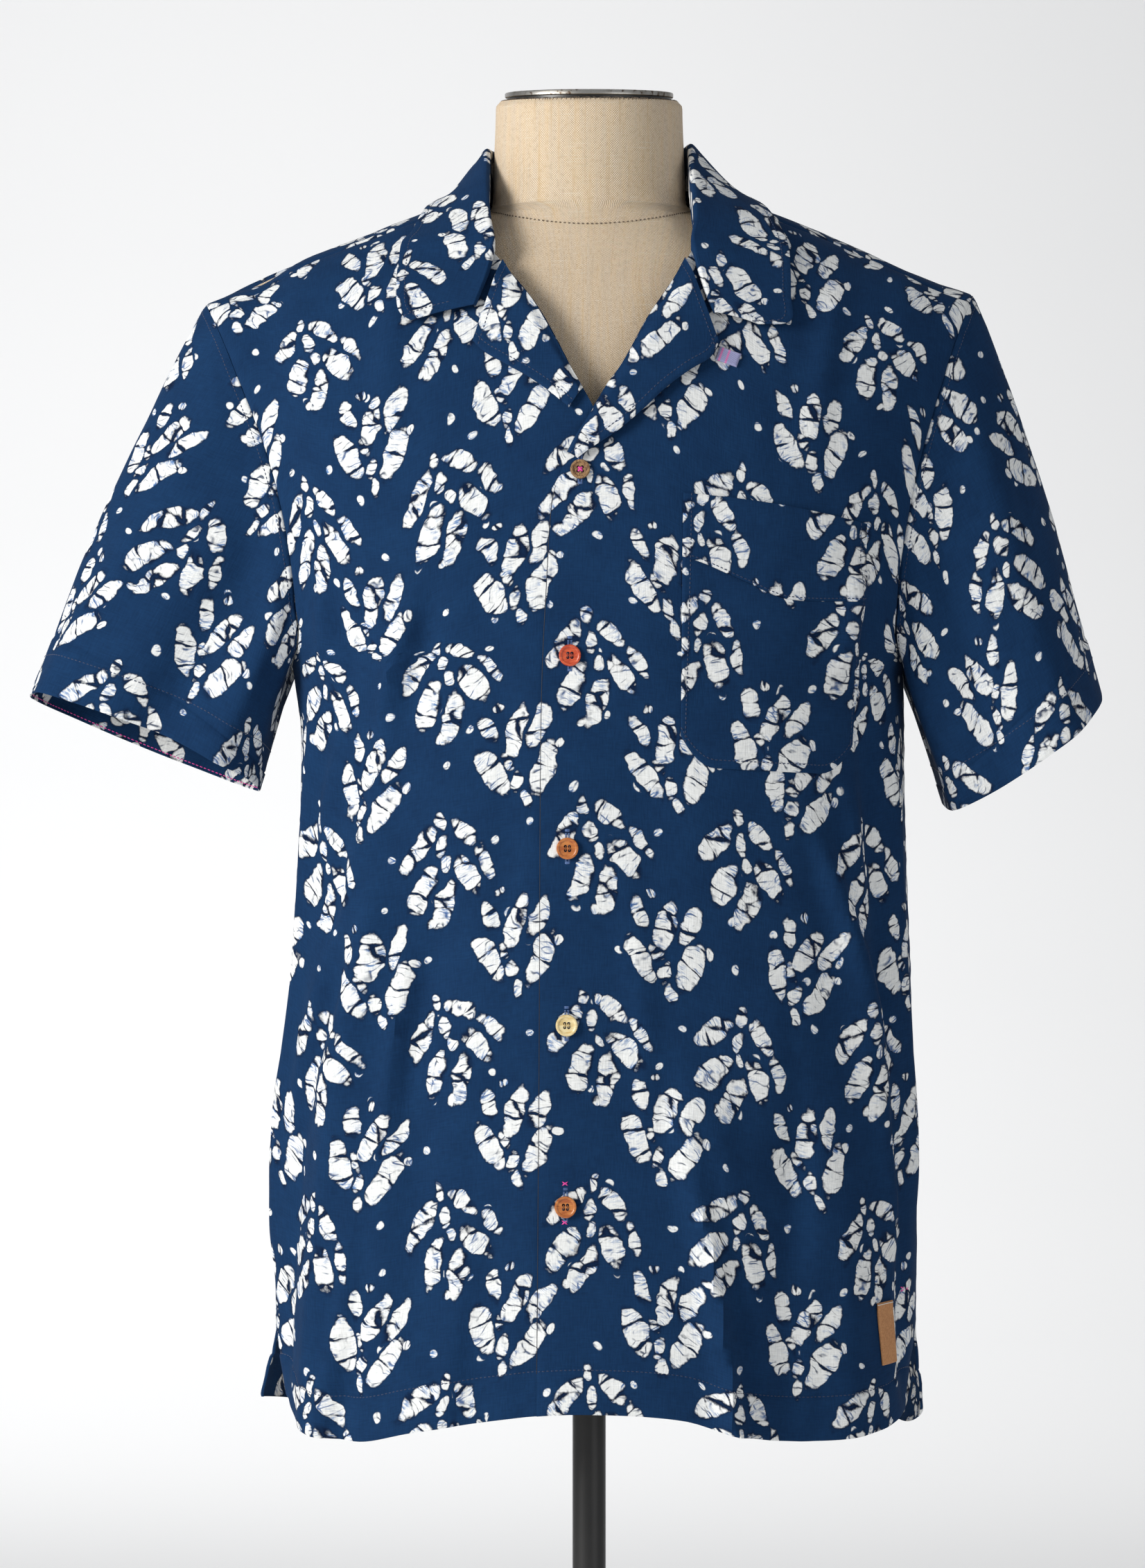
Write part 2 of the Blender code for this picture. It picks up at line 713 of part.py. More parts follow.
def armhole_ring(side):
    """The armhole's edge, outer and inner, from the ridge round the front, the underarm and the back."""
    front = [(1 + over, False) for over in reversed(OVER_ROWS[:-1]) if over <= 0]
    front += [(rise, False) for rise in reversed(FRONT_ROWS)]
    back = [(1 - over, True) for over in OVER_ROWS if over > 0]
    front_places = sorted({round(rise, 4) for rise, _ in front}, reverse=True)
    back_places = sorted({round(rise, 4) for rise, _ in back if rise > 0})
    ring = []
    for rise, is_back in [(r, False) for r in front_places] + [(r, True) for r in back_places]:
        turn = side * armhole_turn(rise)
        if is_back:
            turn = side * 180 - turn
        over = (1 - rise) if is_back else rise - 1
        x = side * half_width(side, rise) * sin(radians(armhole_turn(rise))) ** BEND
        if abs(over) <= 0.02:
            pair = [over_point(x, over, lift) for lift in (CLOTH, 0.0)]
        else:
            pair = [cloth_point(turn, rise, lift, back=is_back) for lift in (CLOTH, 0.0)]
        ring.append((*pair, rise))
    return ring, len(front_places) - 1


def ring_shares(points, bottom):
    """Each point's share of the way round: 0 at the first, 0.5 at the bottom one."""
    count = len(points)
    lengths = [(points[(k + 1) % count] - points[k]).length for k in range(count)]
    front, back = sum(lengths[:bottom]), sum(lengths[bottom:])
    shares, run = [], 0.0
    for k in range(count):
        shares.append(0.5 * run / front if k <= bottom else 0.5 + 0.5 * (run - front) / back)
        run += lengths[k]
    return shares


def cuff_point(cuff, share):
    angle = 2 * pi * share
    across = (1 - cos(angle)) / 2
    swing = sin(angle)
    x = mix(cuff.outer[0], cuff.inner[0], across)
    height = mix(cuff.outer[1], cuff.inner[1], across)
    bulge = abs(swing) ** 0.92
    if swing >= 0:
        return Vector((x, CUFF_MIDDLE - cuff.front * bulge, DATUM + height + cuff.front_up * bulge))
    return Vector((x, CUFF_MIDDLE + cuff.back * bulge, DATUM + height + cuff.back_up * bulge))


def grid_normals(grid, ring):
    """A normal for each point of a grid, from its neighbours."""
    rows, columns = len(grid), len(grid[0])
    normals = []
    for j in range(rows):
        line = []
        for i in range(columns):
            if ring:
                ahead, behind = grid[j][(i + 1) % columns], grid[j][i - 1]
            else:
                ahead, behind = grid[j][min(i + 1, columns - 1)], grid[j][max(i - 1, 0)]
            up, down = grid[min(j + 1, rows - 1)][i], grid[max(j - 1, 0)][i]
            normal = (ahead - behind).cross(up - down)
            line.append(normal.normalized() if normal.length > 1e-9 else Vector((0, 0, 1)))
        normals.append(line)
    return normals


def sleeve(name, side, cuff):
    ring, bottom = armhole_ring(side)
    starts = [outer for outer, _, _ in ring]
    shares = ring_shares(starts, bottom)
    ends = [cuff_point(cuff, share) for share in shares]
    middle = sum(ends, Vector()) / len(ends) - sum(starts, Vector()) / len(starts)
    along = middle.normalized()
    bare = []
    for j in range(SLEEVE_ROWS + 1):
        t = (j / SLEEVE_ROWS) ** 1.15
        row = []
        for start, end, share, (_, _, rise) in zip(starts, ends, shares, ring):
            away = along * SEAM_GAP + Vector((side, 0, 0)) * (SEAM_GAP * (1 - ease(rise / 0.2)))
            row.append((start + away).lerp(end, t))
        bare.append(row)
    flip = 1 if side > 0 else -1
    normals = [[n * flip for n in line] for line in grid_normals(bare, ring=True)]
    outer = []
    for j, row in enumerate(bare):
        t = (j / SLEEVE_ROWS) ** 1.15
        line = []
        for i, point in enumerate(row):
            lift = SLEEVE_BULGE * sin(pi * t) * (0.5 + 0.5 * cos(2 * pi * shares[i]))
            for fold in SLEEVE_FOLDS:
                if fold.side != cuff.side:
                    continue
                off = shares[i] - mix(fold.top_share, fold.bottom_share, t)
                lift += fold.depth * ease(t / 0.3) * exp(-((off / fold.width) ** 2))
            line.append(point + normals[j][i] * lift)
        outer.append(line)
    normals = [[n * flip for n in line] for line in grid_normals(outer, ring=True)]
    inner = []
    for j, row in enumerate(outer):
        line = []
        for i, point in enumerate(row):
            normal = normals[j][i]
            if j == 0:
                shell, lining, rise = ring[i]
                normal = normal.lerp((shell - lining).normalized(), ease(rise / 0.15)).normalized()
            line.append(point - normal * CLOTH)
        inner.append(line)
    return wall(name, outer, inner, "shirt_cotton", ring=True)


# Collar and lapels


def keep_off(point, lift):
    """Moves a point out along the body's normal if it is less than lift above the body."""
    over = over_at(point.x, point.y)
    rise = 1 - abs(over)
    turn = turn_of(point.x, half_width(1 if point.x >= 0 else -1, rise))
    if over > 0:
        turn = (180 if point.x >= 0 else -180) - turn
    normal = outward(turn, rise) if abs(over) > 0.03 else Vector((0, 0, 1))
    off = (point - over_point(point.x, over, 0.0)).dot(normal)
    return point + normal * max(0.0, lift - off)


def collar_section(station):
    """The collar's middle line across one station: up the stand, over the roll and down to the edge."""
    lying = station.y is None
    if lying:
        roll = front_point(station.x, station.height, COLLAR_LIFT, lapping=station.x > 0)
        edge = front_point(station.edge_x, station.edge_height, COLLAR_EDGE_LIFT + CLOTH)
    else:
        roll = Vector((station.x, station.y, DATUM + station.height))
        if station.edge_y is None:
            edge = front_point(station.edge_x, station.edge_height, COLLAR_EDGE_LIFT + CLOTH)
        else:
            edge = Vector((station.edge_x, station.edge_y, DATUM + station.edge_height))
    out = edge - roll
    if not lying:
        out.z = 0
    out.normalize()
    up = Vector((0, 0, 1))
    if lying:
        turn, rise = front_place(station.x, station.height)
        up = outward(turn, rise)
        up = (up - out * up.dot(out)).normalized()
    radius = COLLAR_BEND_LYING if lying else COLLAR_BEND
    centre = roll + out * radius - up * radius
    points = [roll - up * max(station.stand, radius + 0.8)]
    if not lying:
        points.append(roll - up * (station.stand + radius) / 2)
    else:
        points.append(roll - up * (radius + 0.4))
    for angle in (180, 125, 70):
        points.append(centre + out * radius * cos(radians(angle)) + up * radius * sin(radians(angle)))
    last = points[-1]
    for k in range(1, FALL_STEPS + 1):
        t = k / FALL_STEPS
        spot = last.lerp(edge, t)
        bow = (Vector((0, 0, 1)) * 0.4 + out * 0.6) * FALL_BOW * sin(pi * t)
        points.append(keep_off(spot + bow, mix(COLLAR_LIFT, COLLAR_EDGE_LIFT, t)))
    return points


def collar():
    stations = COLLAR_RIGHT + [COLLAR_BACK] + list(reversed(COLLAR_LEFT))
    middle = [collar_section(station) for station in stations]
    normals = grid_normals(middle, ring=False)
    outer = [[p + n * COLLAR_CLOTH / 2 for p, n in zip(a, b)] for a, b in zip(middle, normals)]
    inner = [[p - n * COLLAR_CLOTH / 2 for p, n in zip(a, b)] for a, b in zip(middle, normals)]
    return wall("collar", outer, inner, "shirt_cotton")


def lapel(name, table, lifts, lapping):
    """A lapel turned back over its front, from the roll to its free edge."""
    outer, inner = [], []
    for row in table:
        lines = [], []
        for i in range(LAPEL_STEPS + 1):
            t = i / LAPEL_STEPS
            x, height = mix(row.roll_x, row.edge_x, t), mix(row.roll_height, row.edge_height, t)
            rolled = ease(t / 0.22)
            lift = CLOTH + LAY_GAP + mix(0.0, mix(*lifts, t), rolled)
            lines[0].append(front_point(x, height, lift + COLLAR_CLOTH, lapping))
            lines[1].append(front_point(x, height, lift, lapping))
        outer.append(lines[0])
        inner.append(lines[1])
    return wall(name, outer, inner, "shirt_cotton")


# Pocket, buttons and trims


def pocket_piece(name, low_of, high_of, rows):
    outer, inner = [], []
    for j in range(rows + 1):
        t = j / rows
        lines = [], []
        for i in range(POCKET_STEPS + 1):
            u = i / POCKET_STEPS
            low, high = low_of(u), high_of(u)
            x, height = mix(low[0], high[0], t), mix(low[1], high[1], t)
            lines[0].append(front_point(x, height, 2 * CLOTH + POCKET_LIFT))
            lines[1].append(front_point(x, height, CLOTH + POCKET_LIFT))
        outer.append(lines[0])
        inner.append(lines[1])
    return wall(name, outer, inner, "shirt_cotton")


def pocket():
    def foot(u):
        x = mix(POCKET_FOOT_IN[0] + 2, POCKET_FOOT_OUT[0] - 2, u)
        rounding = max(0.0, 1 - min(u, 1 - u) / 0.2) ** 2 * POCKET_CORNER * 0.75
        return x, mix(POCKET_FOOT_IN[1], POCKET_FOOT_OUT[1], u) + rounding

    def seam(u, gap):
        x = mix(POCKET_TOP_IN[0] - 0.5, POCKET_TOP_OUT[0] - 1, u)
        return x, read(BAND_SEAM, "x", "height", x) + gap

    def top(u):
        x = mix(POCKET_TOP_IN[0], POCKET_TOP_OUT[0], u)
        return x, mix(POCKET_TOP_IN[1], POCKET_TOP_OUT[1], u) + POCKET_TOP_RISE * sin(pi * u)

    pocket_piece("pocket", foot, lambda u: seam(u, -SEAM_GAP / 2), 6)
    pocket_piece("pocket_band", lambda u: seam(u, SEAM_GAP / 2), top, 2)


def flat_frame(x, height, lean):
    """Axes on the front at a place: across, up and out, leaned about the outward one."""
    turn, rise = front_place(x, height)
    out = outward(turn, rise)
    up = Vector((0, 0, 1))
    up = (up - out * up.dot(out)).normalized()
    across = up.cross(out)
    swing = radians(lean)
    return across * cos(swing) + up * sin(swing), up * cos(swing) - across * sin(swing), out


def button(name, spec, finish):
    """A round button with a raised rim round a dished face."""
    across, up, out = flat_frame(spec.x, spec.height, 0)
    seat = front_point(spec.x, spec.height, CLOTH + BUTTON_LIFT)
    radius = spec.diameter / 2
    bm = bmesh.new()
    profile = [(radius - 0.7, 0.0), (radius, 0.7), (radius, BUTTON_THICK - 0.5), (radius - 0.6, BUTTON_THICK)]
    profile += [(radius - 1.5, BUTTON_THICK - 0.1), (radius - 2.1, BUTTON_THICK - 0.7)]
    rings = []
    for r, h in profile:
        ring = []
        for i in range(BUTTON_SIDES):
            a = 2 * pi * i / BUTTON_SIDES
            ring.append(bm.verts.new((seat + (across * cos(a) + up * sin(a)) * r + out * h) * MM))
        rings.append(ring)
    for low, high in zip(rings, rings[1:]):
        for i in range(BUTTON_SIDES):
            k = (i + 1) % BUTTON_SIDES
            bm.faces.new((low[i], low[k], high[k], high[i]))
    bm.faces.new(list(reversed(rings[0])))
    bm.faces.new(rings[-1])
    return add_object(name, bm, finish)


def slab(name, centre, size, lean, thick, lift, finish, rows=4):
    """A thin strip that lies on the front."""
    outer, inner = [], []
    swing = radians(lean)
    for j in range(rows + 1):
        lines = [], []
        for i in range(3):
            a, b = (i / 2 - 0.5) * size[0], (j / rows - 0.5) * size[1]
            x = centre[0] + a * cos(swing) - b * sin(swing)
            height = centre[1] + a * sin(swing) + b * cos(swing)
            lines[0].append(front_point(x, height, lift + thick))
            lines[1].append(front_point(x, height, lift))
        outer.append(lines[0])
        inner.append(lines[1])
    return wall(name, outer, inner, finish)


# The dress form


def form_reach(angle, height):
    """How far the torso reaches from its axis, in a direction (0 is +X) at a height."""
    depth = "front" if sin(radians(angle)) < 0 else "back"
    cx, cy = abs(cos(radians(angle))), abs(sin(radians(angle)))
    base = FORM[-1].height
    if height <= base:
        wide, deep = read(FORM, "height", "half_width", height), read(FORM, "height", depth, height)
        return 1 / ((cx / wide) ** SQUARENESS + (cy / deep) ** SQUARENESS) ** (1 / SQUARENESS)
    deep = getattr(FORM[-1], depth)
    facing = cos(radians(angle))
    low, high = 0.0, 260.0
    for _ in range(30):
        reach = (low + high) / 2
        x, y = reach * cx, reach * cy
        top = ridge_height(x if facing >= 0 else -x) - FORM_GAP
        top -= NECK_SINK * (1 - ease((x - NECK_HALF_WIDTH) / NECK_SINK_REACH))
        climb = (height - base) / (top - base)
        room = 1 - min(1.0, climb) ** SQUARENESS
        share = x / mix(FORM[-1].half_width, FORM_RIDGE_REACH, min(1.0, climb))
        inside = share < 1 and y < deep * (room * (1 - share**SQUARENESS)) ** (1 / SQUARENESS)
        low, high = (reach, high) if inside else (low, reach)
    return low


def neck_reach(angle):
    cx, cy = cos(radians(angle)), sin(radians(angle))
    return 1 / hypot(cx / NECK_HALF_WIDTH, cy / NECK_HALF_DEPTH)


def form_torso():
    bm = bmesh.new()
    rings = []
    for height in FORM_HEIGHTS:
        ring = []
        slope = NECK_SLOPE * ease((height - NECK_SLOPE_FROM) / (NECK_TOP - NECK_SLOPE_FROM))
        for k in range(FORM_SPOKES):
            angle = 360 * k / FORM_SPOKES
            reach = form_reach(angle, height) if height < NECK_CLEAR else 0.0
            if height > FORM[-1].height:
                reach = (reach**NECK_UNION + neck_reach(angle) ** NECK_UNION) ** (1 / NECK_UNION)
            x, y = reach * cos(radians(angle)), reach * sin(radians(angle))
            ring.append(Vector((x, y, DATUM + height + slope * y)))
        rings.append(ring)
    verts = [[bm.verts.new(p * MM) for p in ring] for ring in rings]
    for low, high in zip(verts, verts[1:]):
        for i in range(FORM_SPOKES):
            k = (i + 1) % FORM_SPOKES
            bm.faces.new((low[i], low[k], high[k], high[i]))
    bm.faces.new(list(reversed(verts[0])))
    bm.faces.new(verts[-1])
    return add_object("form_torso", bm, "linen")


def stand():
    turned(
        "neck_cap",
        [
            (0, DATUM + NECK_TOP + FIT_GAP),
            (CAP_RADIUS - CAP_STEP, DATUM + NECK_TOP + FIT_GAP),
            (CAP_RADIUS - CAP_STEP, DATUM + NECK_TOP + FIT_GAP + 1.2),
            (CAP_RADIUS, DATUM + NECK_TOP + FIT_GAP + 1.6),
            (CAP_RADIUS, DATUM + NECK_TOP + CAP_THICK - 0.6),
            (CAP_RADIUS - 0.8, DATUM + NECK_TOP + CAP_THICK),
            (0, DATUM + NECK_TOP + CAP_THICK),
        ],
        "steel",
        slope=NECK_SLOPE,
    )
    foot, head = HUB_TOP + FIT_GAP, DATUM + FORM_BOTTOM - FIT_GAP
    turned(
        "pole",
        [(0, foot), (POLE_RADIUS, foot), (POLE_RADIUS, head), (0, head)],
        "black_enamel",
        segments=20,
    )
    turned(
        "base",
        [
            (0, 0),
            (BASE_RADIUS - 2, 0),
            (BASE_RADIUS, 2),
            (BASE_RADIUS, BASE_THICK - 2),
            (BASE_RADIUS - 2, BASE_THICK),
            (HUB_RADIUS + 4, BASE_THICK + 2),
            (HUB_RADIUS, BASE_THICK + 6),
            (HUB_RADIUS - 4, HUB_TOP),
            (0, HUB_TOP),
        ],
        "black_enamel",
        segments=44,
    )


def clear_scene():
    for obj in list(bpy.data.objects):
        bpy.data.objects.remove(obj)


def main():
    clear_scene()
    front_panel("front_right", LAPPED_EDGE, -1, lapping=False)
    front_panel("front_left", LAPPING_EDGE, 1, lapping=True)
    back_panel()
    sleeve("sleeve_right", -1, CUFFS[0])
    sleeve("sleeve_left", 1, CUFFS[1])
    collar()
    lapel("lapel_right", LAPEL_RIGHT, RIGHT_LAPEL_LIFT, lapping=False)
    lapel("lapel_left", LAPEL_LEFT, LEFT_LAPEL_LIFT, lapping=True)
    pocket()
    finishes = ("coconut", "button_red", "button_tan", "button_cream", "button_tan")
    for k, (spec, finish) in enumerate(zip(BUTTONS, finishes)):
        button(f"button_{k + 1}", spec, finish)
    slab("leather_tab", TAB_CENTRE, TAB_SIZE, TAB_LEAN, 1.6, CLOTH + LAY_GAP, "leather")
    slab("ribbon_loop", LOOP_CENTRE, LOOP_SIZE, LOOP_LEAN, 1.4, CLOTH + LAY_GAP, "ribbon", rows=2)
    form_torso()
    stand()


main()
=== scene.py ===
"""A short-sleeve camp-collar shirt in leaf-print batik cotton, on a linen-covered dress form.

The shirt's surfaces are given as in the CAD: turn is the angle round the body in degrees (0 at the front
centre, +90 at the side seam on +X) and rise runs up a panel (-1 at the hem, 0 at the underarm, +1 on the
ridge of the shoulder). Sizes are in millimetres, and heights are measured from DATUM.
"""

from collections import namedtuple
from math import cos, degrees, pi, radians, sin, tan

import bmesh
import bpy
import numpy as np
from mathutils import Euler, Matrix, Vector, noise


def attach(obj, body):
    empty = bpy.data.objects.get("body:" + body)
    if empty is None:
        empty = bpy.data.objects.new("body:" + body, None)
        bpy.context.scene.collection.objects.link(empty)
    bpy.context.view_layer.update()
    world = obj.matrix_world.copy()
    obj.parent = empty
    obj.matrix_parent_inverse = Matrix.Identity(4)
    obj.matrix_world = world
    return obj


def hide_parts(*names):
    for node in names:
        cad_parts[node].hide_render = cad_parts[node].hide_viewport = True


bl_info = {
    "name": "Leaf-print camp-collar shirt",
    "version": (1, 0, 0),
    "blender": (4, 5, 0),
    "location": "View3D > Sidebar > Shirt",
    "description": "Builds a short-sleeve shirt on a dress form, with its studio",
    "category": "Object",
}

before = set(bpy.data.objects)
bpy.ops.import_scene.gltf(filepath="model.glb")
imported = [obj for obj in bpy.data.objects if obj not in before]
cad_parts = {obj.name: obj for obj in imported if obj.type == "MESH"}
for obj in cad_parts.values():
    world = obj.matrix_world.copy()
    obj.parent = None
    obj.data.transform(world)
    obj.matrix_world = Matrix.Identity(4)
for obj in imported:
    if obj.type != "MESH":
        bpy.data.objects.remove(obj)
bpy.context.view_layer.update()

DATUM = 1130.0  # height of the chest level above the floor

CLOTH = 1.2  # how far a single panel's outer face stands off the surface that it follows
INNER_FACE = 0.25  # the same for a front's and the back's inner face
COLLAR_CLOTH = 1.4  # wall of the collar and lapels, which are faced
LAY_GAP = 0.5  # between a panel and what lies on it

UNDERARM = 66.0  # height of the underarm point
HEM = -382.0  # mean height of the hem
SQUARENESS = 2.2  # exponent of the body's rounded-square sections
BEND = 2.0 / SQUARENESS
LAP_END, LAP_FADE = 40.0, 35.0  # x at which the lapping front starts to settle, and over how much
RIDGE_REACH = 250.0  # half width to which the shoulder ridge would run

# The shirt's level sections: half widths to each side, and depths to the front and the back.
Section = namedtuple("Section", "height left right front back")
BODY = [
    Section(-400, 184, 194, 120, 122),
    Section(-315, 187, 195, 119, 121),
    Section(-260, 187.5, 196, 119, 120),
    Section(-200, 186.5, 195, 120, 119),
    Section(-140, 179.5, 192, 122, 118),
    Section(-80, 176, 190, 124, 117),
    Section(-20, 173, 188.5, 126, 116),
    Section(30, 172, 187.5, 127, 115),
    Section(66, 176, 186.5, 127, 114),
]

# The armhole: its turn from the front or the back centre, at a rise.
Armhole = namedtuple("Armhole", "rise turn")
ARMHOLE = [
    Armhole(0, 90),
    Armhole(0.03, 71.5),
    Armhole(0.09, 66),
    Armhole(0.18, 62.7),
    Armhole(0.29, 61.2),
    Armhole(0.40, 61.5),
    Armhole(0.50, 62.3),
    Armhole(0.60, 63),
    Armhole(0.80, 65),
    Armhole(1, 66),
]

# The shoulder ridge: its height at a distance from the middle, on each side.
Ridge = namedtuple("Ridge", "distance left right")
RIDGE = [
    Ridge(0, 371, 371),
    Ridge(35, 366, 367),
    Ridge(66, 355, 357),
    Ridge(94, 343.5, 347.5),
    Ridge(133, 328.5, 333),
    Ridge(170, 314, 316.5),
    Ridge(208, 297, 300),
    Ridge(230, 287, 292),
    Ridge(255, 277, 281),
]

# The opening edge of each front: its x at a height, up the button edge and the roll of the lapel.
Edge = namedtuple("Edge", "height x")
LAPPING_EDGE = [
    Edge(-400, -31),
    Edge(-200, -29),
    Edge(0, -28),
    Edge(64, -27),
    Edge(117, -24.5),
    Edge(152, -22.5),
    Edge(170, -20),
    Edge(193, -11.5),
    Edge(218, 2),
    Edge(244, 19),
    Edge(271, 33.5),
    Edge(307, 57),
    Edge(318, 62.5),
    Edge(330, 65),
    Edge(352, 66),
]
LAPPED_EDGE = [
    Edge(-400, 17),
    Edge(150, 17),
    Edge(190, 13),
    Edge(218, 2),
    Edge(240, -10),
    Edge(260, -20),
    Edge(280, -31.5),
    Edge(307, -52.5),
    Edge(318, -60.5),
    Edge(330, -63.5),
    Edge(352, -66),
]

# The hem's height at a turn: it swings low in front of each side seam.
Hem = namedtuple("Hem", "turn height")
HEM_LINE = [
    Hem(-180, -378),
    Hem(-135, -382),
    Hem(-90, -368),
    Hem(-78, -366),
    Hem(-62, -380),
    Hem(-45, -384),
    Hem(-32, -377),
    Hem(-10, -366),
    Hem(0, -364),
    Hem(14, -368),
    Hem(24, -378),
    Hem(40, -383),
    Hem(60, -380),
    Hem(76, -373),
    Hem(90, -378),
    Hem(102, -387),
    Hem(135, -384),
    Hem(180, -378),
]

# The largest folds of the body. A ridge stands out and a trough, with a negative depth, falls in.
Fold = namedtuple("Fold", "top_turn top bottom_turn bottom width depth")
BODY_FOLDS = [
    Fold(-34, 130, -53, -160, 15, 5.0),
    Fold(-42, -30, -62, -400, 16, 6.5),
    Fold(-29, -40, -31, -300, 19, -5.0),
    Fold(-50, -20, -74, -330, 13, -5.0),
    Fold(-68, 60, -80, -250, 11, 5.0),
    Fold(-18, -180, -20, -420, 22, -3.5),
    Fold(-60, 100, -50, 300, 17, -3.5),
    Fold(43, -10, 64, -240, 13, 5.5),
    Fold(56, 70, 72, -330, 12, -5.0),
    Fold(70, 40, 78, -220, 10, 4.0),
    Fold(16, -150, 27, -420, 14, 7.0),
    Fold(34, -170, 37, -400, 19, -6.5),
    Fold(48, -210, 50, -420, 20, 3.5),
    Fold(8, 60, 12, -260, 26, -3.0),
    Fold(150, 150, 138, -400, 18, 7.0),
    Fold(128, 60, 122, -400, 16, -6.0),
    Fold(172, 40, 166, -400, 22, -5.0),
    Fold(-152, 150, -140, -400, 18, 7.0),
    Fold(-130, 60, -124, -400, 16, -6.0),
    Fold(-168, 20, -165, -400, 20, 4.5),
    Fold(-112, 0, -110, -400, 15, 4.0),
    Fold(112, 0, 110, -400, 15, 4.0),
]
PER_DEGREE = 3.1  # width on the body of a degree of turn
FOLD_FADE = 55.0  # length over which a fold dies out at its ends
VENT_TOP = -318.0  # height from which the side vents gape
FRONT_VENT_TUCK = 7.0  # how far the front's vent corner swings in
BACK_VENT_FLARES = {"left": 12.0, "right": 5.0}  # how far the back's vent corners swing out

SHOULDER_SEAM_RISE = 0.86  # the shoulder seam lies a little in front of the ridge
NECK_SIDE, NECK_BACK, NECK_MIDDLE = 66.0, 73.6, -4.0  # the neckline's half width, depth and centre

OVER_ROWS = [1.0, 0.97, 0.93, 0.88, 0.81, 0.73, 0.64, 0.54, 0.44, 0.34, 0.24, 0.15, 0.07, 0.0, -0.07, -0.138]

# Sleeves: the opening's outer and inner corner and how far its front and back stand off their chord.
Cuff = namedtuple("Cuff", "side outer inner front front_up back back_up")
CUFFS = [
    Cuff("right", (-336, 52), (-198, -4), 50, 10, 50, -4),
    Cuff("left", (308, 53), (213, -13), 60, -11, 56, 6),
]
SleeveFold = namedtuple("SleeveFold", "side top_share bottom_share width depth")
SLEEVE_FOLDS = [
    SleeveFold("right", 0.14, 0.10, 0.035, 4.0),
    SleeveFold("right", 0.27, 0.27, 0.045, -9.0),
    SleeveFold("right", 0.35, 0.36, 0.03, 6.0),
    SleeveFold("right", 0.68, 0.70, 0.05, -6.0),
    SleeveFold("right", 0.84, 0.86, 0.05, 4.0),
    SleeveFold("left", 0.12, 0.17, 0.04, 4.5),
    SleeveFold("left", 0.24, 0.30, 0.05, -6.0),
    SleeveFold("left", 0.38, 0.40, 0.04, 4.0),
    SleeveFold("left", 0.68, 0.70, 0.05, -6.0),
    SleeveFold("left", 0.84, 0.86, 0.05, 4.0),
]
CUFF_MIDDLE = 2.0  # y of the cuffs' middles
SLEEVE_BULGE = 5.0  # how far the sleeves' tops bow out

# Collar stations from the front end to the back centre: the inner line (gorge, then roll), how far the stand
# drops from it, and the outer edge. A y of None is taken from the front's surface.
Station = namedtuple("Station", "x y height stand edge_x edge_y edge_height")
COLLAR_RIGHT = [
    Station(-66, None, 277, 2.4, -102, None, 267),
    Station(-62, None, 287, 2.4, -109, None, 273),
    Station(-58.5, None, 296, 2.4, -110, None, 290),
    Station(-56, None, 307, 3, -109.5, None, 303),
    Station(-56, -79, 321, 8, -108, None, 314),
    Station(-58.5, -67, 335, 14, -105, -49, 326),
    Station(-59.8, -50, 350, 20, -99, -31, 338),
    Station(-59.8, -28, 366, 17, -94, -14, 343),
    Station(-59.6, -4, 380, 24, -90, 5, 342),
    Station(-57.6, 12, 381.5, 29, -86, 23, 341),
    Station(-53.5, 27, 382, 33, -79, 40, 335),
    Station(-38.8, 49, 381, 43, -61, 67, 321),
    Station(-18.6, 62, 379, 53, -32, 84, 311),
]
COLLAR_LEFT = [
    Station(72, None, 272, 2.4, 97, None, 266),
    Station(68, None, 281, 2.4, 115.5, None, 268),
    Station(63.5, None, 295, 2.4, 116, None, 283),
    Station(60.5, None, 307, 3, 116, None, 299),
    Station(60, -79, 321, 8, 115, None, 314),
    Station(62, -67, 335, 14, 112.5, -50, 330),
    Station(61.3, -50, 351, 20, 107, -33, 341),
    Station(60, -28, 368, 18, 101, -15, 346),
    Station(59.5, -4, 383, 26, 94, 5, 346),
    Station(57.4, 12, 384, 30, 89, 23, 344),
    Station(53.5, 27, 384, 34, 81, 40, 337),
    Station(38.8, 49, 382, 43, 61, 67, 321),
    Station(18.6, 62, 379, 53, 32, 84, 311),
]
COLLAR_BACK = Station(0, 65.5, 378, 56, 0, 90, 307)
COLLAR_LIFT = 6.5  # of the roll off the front
COLLAR_EDGE_LIFT = 4.8  # of the outer edge
FALL_STEPS = 6  # points from the roll down to the outer edge
FALL_BOW = 1.4  # how far the fall bows out between them
COLLAR_BEND, COLLAR_BEND_LYING = 2.3, 1.3  # radius of the roll, where the collar stands and where it lies

# Lapels: points of the roll and of the free edge that face each other, from the gorge to the first button.
Facing = namedtuple("Facing", "roll_x roll_height edge_x edge_height")
LAPEL_RIGHT = [
    Facing(-50.5, 306, -67.5, 257),
    Facing(-44, 295, -61, 250.5),
    Facing(-33, 281, -48.5, 243),
    Facing(-21.5, 261, -35, 235),
    Facing(-12, 243, -23, 226.5),
    Facing(-4, 229, -12, 217),
]
LAPEL_LEFT = [
    Facing(55, 306, 74, 255),
    Facing(47, 291, 69, 246),
    Facing(34.5, 272, 58, 239),
    Facing(20, 245, 44, 228.5),
    Facing(9, 229, 31, 216),
    Facing(0.5, 214, 16, 203),
    Facing(-8.5, 200, 1, 193),
    Facing(-13, 191, -7, 187),
]
RIGHT_LAPEL_LIFT, LEFT_LAPEL_LIFT = (2.6, 1.6), (3.4, 3.2)  # past the roll and at the free edge

